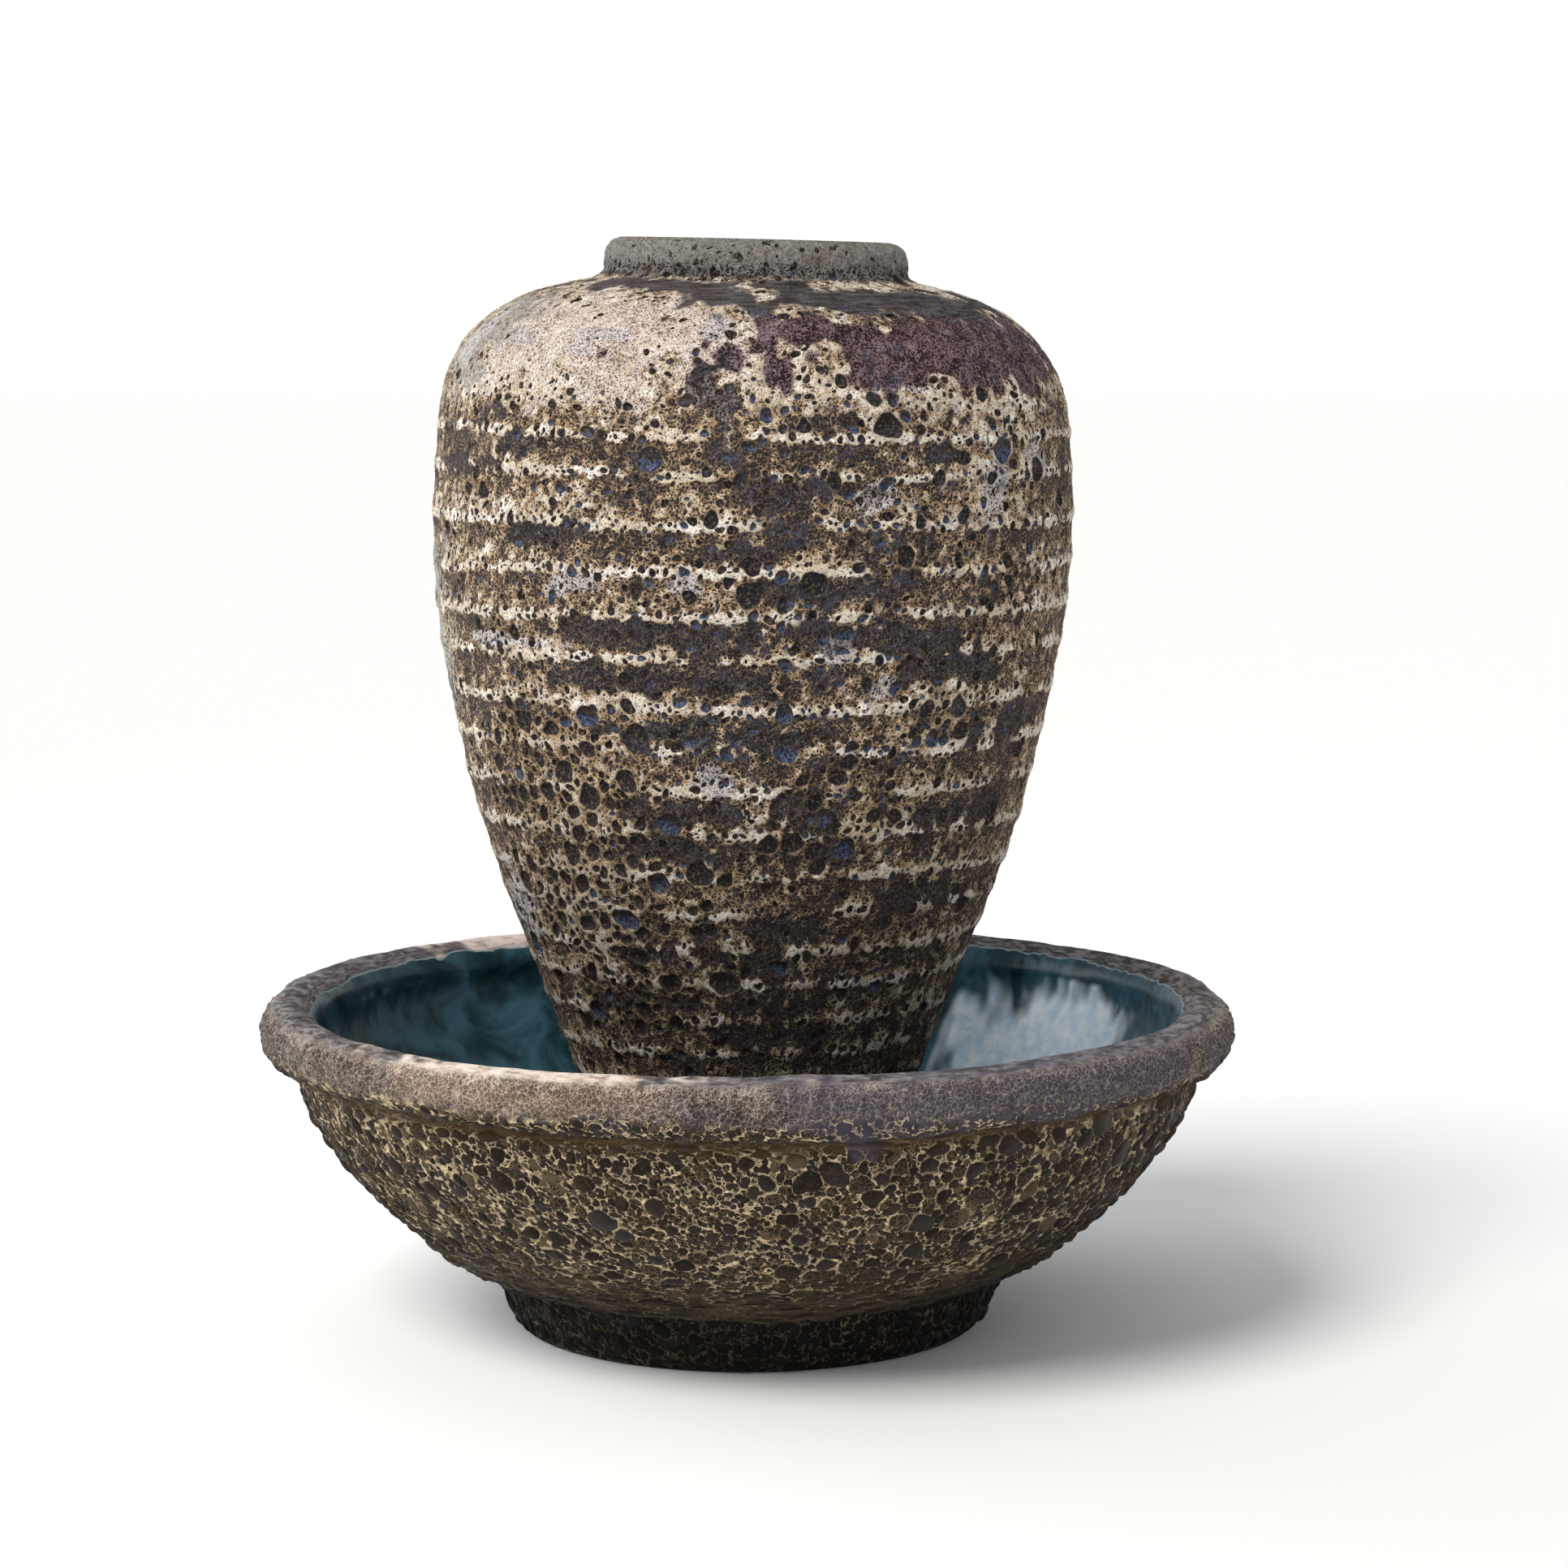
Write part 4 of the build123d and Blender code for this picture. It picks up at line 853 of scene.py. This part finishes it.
def basin_glaze():
    """Crater glaze outside, worn rim, glossy blue-green glaze inside, bare clay underneath."""
    look = Look("basin_glaze")
    mix, over, step, below, field = look.mix, look.over, look.step, look.below, look.field
    times, plus, minus, most = look.times, look.plus, look.minus, look.most
    noise, cells = look.noise, look.cells
    pit, tone, web = field("pit"), field("tone"), field("web")
    rosy, violet, foot = field("rosy"), field("violet"), field("foot")
    grain = noise(3.0, 4.0, 0.7)
    speck = noise(1.3, 2.0, 0.6)
    drift = noise(60.0, 3.0, 0.6)
    broken = noise(9.0, 4.0, 0.65)
    patchy = noise(24.0, 3.0, 0.6)
    streak = noise(12.0, 4.0, 0.7, look.stretched(0.35, 3.0))
    bent = look.warped(broken, grain, 9.6)
    small = cells(1.7)["Distance"]
    tight_wall = cells(2.1, "DISTANCE_TO_EDGE", bent)["Distance"]
    open_wall = cells(4.6, "DISTANCE_TO_EDGE", bent)["Distance"]
    fine_wall = cells(2.6, "DISTANCE_TO_EDGE")["Distance"]
    foam_wall = cells(5.2, "DISTANCE_TO_EDGE")["Distance"]

    tan = mix(step(broken, 0.35, 0.65), (0.29, 0.212, 0.115), (0.92, 0.74, 0.47))
    tan = over(tan, step(patchy, 0.4, 0.48, 1.0, 0.0), (0.58, 0.47, 0.34), 0.6)
    tan = over(tan, step(patchy, 0.54, 0.64), (0.17, 0.125, 0.08), 0.6)
    tan = over(tan, step(speck, 0.52, 0.66), (0.05, 0.035, 0.025), 0.7)
    dark = mix(drift, (0.008, 0.005, 0.003), (0.03, 0.019, 0.012))
    solid = step(plus(web, broken), 0.55, 1.35)
    walls = most(
        below(fine_wall, step(solid, 0.0, 1.0, 0.04, 0.24), 0.05),
        below(foam_wall, step(solid, 0.0, 1.0, 0.06, 0.13), 0.03),
    )
    between = mix(walls, dark, tan)
    floor = mix(tone, (0.004, 0.0025, 0.0018), (0.018, 0.0115, 0.008))
    floor = over(floor, step(tone, 0.9, 0.94), (0.018, 0.016, 0.022), 0.5)
    floor = over(floor, step(grain, 0.54, 0.7), (0.11, 0.076, 0.046), 0.45)
    floor = over(floor, step(broken, 0.55, 0.62), (0.062, 0.04, 0.024), 0.3)
    veil = times(walls, step(tone, 0.25, 0.6, 0.55, 0.0))
    floor = over(floor, veil, (0.17, 0.125, 0.072))
    floor = over(floor, step(speck, 0.6, 0.7), (0.003, 0.002, 0.0015), 0.7)
    cell = step(pit, 0.25, 0.9)
    colour = mix(step(pit, -0.6, -0.1), between, tan)
    colour = mix(cell, colour, floor)
    cove = mix(streak, (0.016, 0.009, 0.005), (0.12, 0.068, 0.03))
    colour = over(colour, field("cove"), cove, 0.88)
    # Streaky darker glaze low on the bowl, deepened as painted shade on its underside
    strata_and_shade = mix(step(streak, 0.4, 0.62), (0.005, 0.0035, 0.0025), (0.072, 0.051, 0.028))
    colour = over(colour, field("low"), strata_and_shade, 0.8)
    # Painted shade on the bowl's right side and back, away from the sun
    colour = over(colour, field("shaded_side"), (0.012, 0.009, 0.007), 0.38)
    # The foot is near black: partly darker glaze, partly painted shade under the overhanging bowl
    dark_foot_and_shade = mix(walls, (0.0008, 0.0006, 0.0005), (0.1, 0.07, 0.042))
    dark_foot_and_shade = mix(cell, dark_foot_and_shade, (0.0015, 0.0013, 0.0012))
    colour = over(colour, foot, dark_foot_and_shade, 0.97)

    fleck = mix(broken, (0.17, 0.134, 0.116), (0.55, 0.47, 0.43))
    fleck = over(fleck, step(patchy, 0.54, 0.64), (0.24, 0.155, 0.105), 0.6)
    # Where rosy, the rim's flecked glaze and its pit floors are pinker and lighter, a painted highlight
    fleck = over(fleck, rosy, mix(broken, (0.42, 0.31, 0.24), (0.84, 0.72, 0.62)), 0.7)
    crowd = plus(field("grade"), minus(times(broken, 0.8), 0.4))
    fleck_pits = below(small, step(crowd, 0.2, 1.0, 0.5, 0.16), 0.08)
    face_walls = most(
        below(tight_wall, step(crowd, 0.1, 0.9, 0.0, 0.13), 0.04),
        below(open_wall, step(crowd, 0.0, 1.0, 0.04, 0.12), 0.03),
    )
    face_floor = minus(1.0, face_walls)
    fleck_pits = mix(step(crowd, 0.5, 0.9), face_floor, fleck_pits)
    fleck_floor = over((0.024, 0.019, 0.02), rosy, (0.13, 0.085, 0.065), 0.8)
    fleck = mix(fleck_pits, fleck, fleck_floor)
    colour = over(colour, field("fine_pits"), fleck, 0.9)
    fibre = noise(5.0, 4.0, 0.7, look.stretched(0.3, 2.2))
    smooth = mix(step(fibre, 0.38, 0.66), (0.05, 0.045, 0.047), (0.27, 0.25, 0.26))
    smooth = over(smooth, step(patchy, 0.54, 0.66), (0.06, 0.045, 0.038), 0.6)
    # Where rosy, the worn rim top is pinker and much lighter, a painted highlight
    blush_and_highlight = mix(step(fibre, 0.3, 0.6), (0.34, 0.26, 0.21), (0.93, 0.8, 0.7))
    smooth = over(smooth, rosy, blush_and_highlight, 0.9)
    colour = mix(field("worn"), colour, smooth)
    colour = over(colour, violet, (0.11, 0.105, 0.16), 0.28)

    milky = noise(46.0, 4.0, 0.6, warp=0.6)
    cloudy = noise(15.0, 5.0, 0.62, warp=0.3)
    sea = mix(step(milky, 0.3, 0.7), (0.004, 0.024, 0.028), (0.048, 0.128, 0.18))
    # Painted reflection: pale blue-white patches inside where the sky would reflect in the glaze
    painted_reflection = mix(step(cloudy, 0.3, 0.7), (0.52, 0.72, 0.9), (0.88, 0.96, 1.0))
    sea = over(sea, times(field("milk"), step(cloudy, 0.02, 0.3)), painted_reflection)
    glossy = field("glossy")
    colour = mix(glossy, colour, sea)
    brink = times(step(glossy, 0.05, 0.45), step(glossy, 0.55, 0.98, 1.0, 0.0))
    colour = over(colour, brink, (0.34, 0.44, 0.47), 0.75)
    shine = times(cell, step(tone, 0.6, 0.8))
    rough = step(shine, 0.0, 1.0, 0.8, 0.45)
    matte = minus(1.0, glossy)
    rough = plus(times(rough, matte), times(glossy, 0.32))
    height = times(walls, step(pit, -0.6, -0.1, 0.8, 0.0))
    height = plus(height, times(grain, 0.5))
    height = times(height, minus(1.0, field("worn")))
    height = times(height, matte)
    height = plus(height, times(cloudy, times(glossy, 0.5)))
    return look.fired(colour, rough, grain, height)


def moulded(name, low, high, roughness, grain_size=0.6, depth=0.05):
    """Plastic, rubber or fired clay with a fine grain and slow colour change."""
    look = Look(name)
    grain = look.noise(grain_size, 3.0, 0.6)
    drift = look.noise(18.0, 2.0, 0.5)
    share = look.plus(look.times(grain, 0.4), look.times(drift, 0.6))
    uneven = look.step(grain, 0.2, 0.8, roughness - 0.08, roughness + 0.08)
    return look.finish(look.mix(share, low, high), uneven, grain, depth)


def steel(name):
    """Brushed stainless steel."""
    look = Look(name)
    grain = look.noise(0.5, 3.0, 0.7, look.stretched(0.15, 2.0))
    look.shader.inputs["Metallic"].default_value = 1.0
    colour = look.mix(grain, (0.42, 0.42, 0.43), (0.7, 0.7, 0.71))
    return look.finish(colour, look.step(grain, 0.2, 0.8, 0.22, 0.4), grain, 0.02)


def dress_nodes(frame):
    """Finishes of the parts that stay as they are."""
    rubber_nodes = (
        "pedestal_pads", "seat_pads", "drain_stopper", "inner_gasket", "outer_gasket", "suction_cups",
        "cord_gland", "chamber_seal", "front_bush", "rear_bush",
    )
    pump_nodes = ("pump_housing", "pump_chamber", "strainer_grille")
    fitting_nodes = ("bulkhead_fitting", "fitting_nut")
    clay = moulded("fired_clay", (0.2, 0.12, 0.075), (0.36, 0.25, 0.17), 0.82, 1.6, 0.25)
    looks = [
        (clay, ("pedestal",)),
        (steel("clamp_steel"), ("hose_clamps", "clamp_screws", "chamber_screws")),
    ]
    for name, low, high, roughness, nodes in (
        ("black_rubber", (0.012, 0.012, 0.012), (0.035, 0.034, 0.033), 0.7, rubber_nodes),
        ("fitting_plastic", (0.03, 0.03, 0.033), (0.07, 0.07, 0.075), 0.45, fitting_nodes),
        ("pipe_plastic", (0.46, 0.47, 0.48), (0.58, 0.59, 0.6), 0.38, ("riser_pipe",)),
        ("hose_vinyl", (0.03, 0.035, 0.035), (0.06, 0.07, 0.07), 0.25, ("delivery_hose",)),
        ("pump_plastic", (0.02, 0.021, 0.024), (0.05, 0.052, 0.058), 0.5, pump_nodes),
        ("impeller_plastic", (0.62, 0.62, 0.58), (0.76, 0.76, 0.72), 0.35, ("impeller",)),
        ("dial_plastic", (0.05, 0.14, 0.34), (0.09, 0.22, 0.46), 0.35, ("flow_dial",)),
        ("ferrite", (0.045, 0.045, 0.05), (0.1, 0.1, 0.11), 0.45, ("rotor_magnet",)),
        ("shaft_ceramic", (0.74, 0.73, 0.68), (0.86, 0.85, 0.81), 0.2, ("rotor_shaft",)),
    ):
        looks.append((moulded(name, low, high, roughness), nodes))
    for material, nodes in looks:
        for node in nodes:
            for slot in frame["nodes"][node].material_slots:
                slot.material = material


def make_floor():
    mesh = bpy.data.meshes.new("floor")
    corners = [(x * FLOOR_REACH, y * FLOOR_REACH, 0) for x, y in ((-1, -1), (1, -1), (1, 1), (-1, 1))]
    mesh.from_pydata(corners, [], [(0, 1, 2, 3)])
    floor = add_object("floor", mesh)
    look = Look("floor")
    look.feed(look.shader.inputs["Base Color"], (0.968, 0.984, 1.0))
    look.shader.inputs["Roughness"].default_value = 0.9
    mesh.materials.append(look.material)


def make_lights():
    """Soft sun from the upper left, a window behind to the left, and a pale sky, brightest low down."""
    sun = bpy.data.lights.new("sun", "SUN")
    sun.energy = SUN_STRENGTH
    sun.angle = math.radians(SUN_WIDTH)
    sun.color = SUN_COLOUR
    holder = add_object("sun", sun)
    holder.rotation_euler = (math.radians(SUN_FROM_TOP), 0, math.radians(SUN_TURN))
    window = bpy.data.lights.new("window", "AREA")
    window.shape = "DISK"
    window.size = WINDOW_SIZE
    window.energy = WINDOW_POWER
    window.color = WINDOW_COLOUR
    holder = add_object("window", window)
    holder.location = WINDOW_PLACE
    way = [end - start for start, end in zip(WINDOW_PLACE, WINDOW_TARGET)]
    tilt = math.atan2(math.hypot(way[0], way[1]), -way[2])
    holder.rotation_euler = (tilt, 0, math.atan2(way[1], way[0]) - math.pi / 2)
    world = bpy.data.worlds.new("studio")
    bpy.context.scene.world = world
    world.use_nodes = True
    tree = world.node_tree
    place = tree.nodes.new("ShaderNodeTexCoord")
    parts = tree.nodes.new("ShaderNodeSeparateXYZ")
    tree.links.new(place.outputs["Generated"], parts.inputs[0])
    strength = tree.nodes.new("ShaderNodeMapRange")
    strength.interpolation_type = "SMOOTHSTEP"
    for name, number in SKY_STRENGTH.items():
        strength.inputs[name].default_value = number
    tree.links.new(parts.outputs["Z"], strength.inputs["Value"])
    tree.links.new(strength.outputs["Result"], tree.nodes["Background"].inputs["Strength"])
    tree.nodes["Background"].inputs["Color"].default_value = (1.0, 1.0, 1.0, 1.0)


def make_camera():
    camera = bpy.data.cameras.new("camera")
    camera.sensor_fit = "HORIZONTAL"
    camera.sensor_width = SENSOR_MM
    camera.lens = FOCAL_PIXELS / PHOTO_PIXELS * SENSOR_MM
    camera.clip_end = 100.0
    holder = add_object("camera", camera)
    holder.location = (0, -CAMERA_DISTANCE, CAMERA_HEIGHT)
    holder.rotation_euler = (math.radians(90 - CAMERA_PITCH), 0, math.radians(-CAMERA_YAW))
    bpy.context.scene.camera = holder


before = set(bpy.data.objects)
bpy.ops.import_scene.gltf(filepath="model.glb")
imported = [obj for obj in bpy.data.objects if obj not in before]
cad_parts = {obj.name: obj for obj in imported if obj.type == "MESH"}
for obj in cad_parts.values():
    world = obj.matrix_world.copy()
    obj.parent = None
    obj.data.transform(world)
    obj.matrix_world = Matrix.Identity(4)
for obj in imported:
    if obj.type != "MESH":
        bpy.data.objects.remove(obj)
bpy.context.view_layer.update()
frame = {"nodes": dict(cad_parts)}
make_camera()
make_lights()
make_floor()
dress_nodes(frame)
make_basin()
make_jar()
bpy.context.scene.view_settings.view_transform = "Standard"
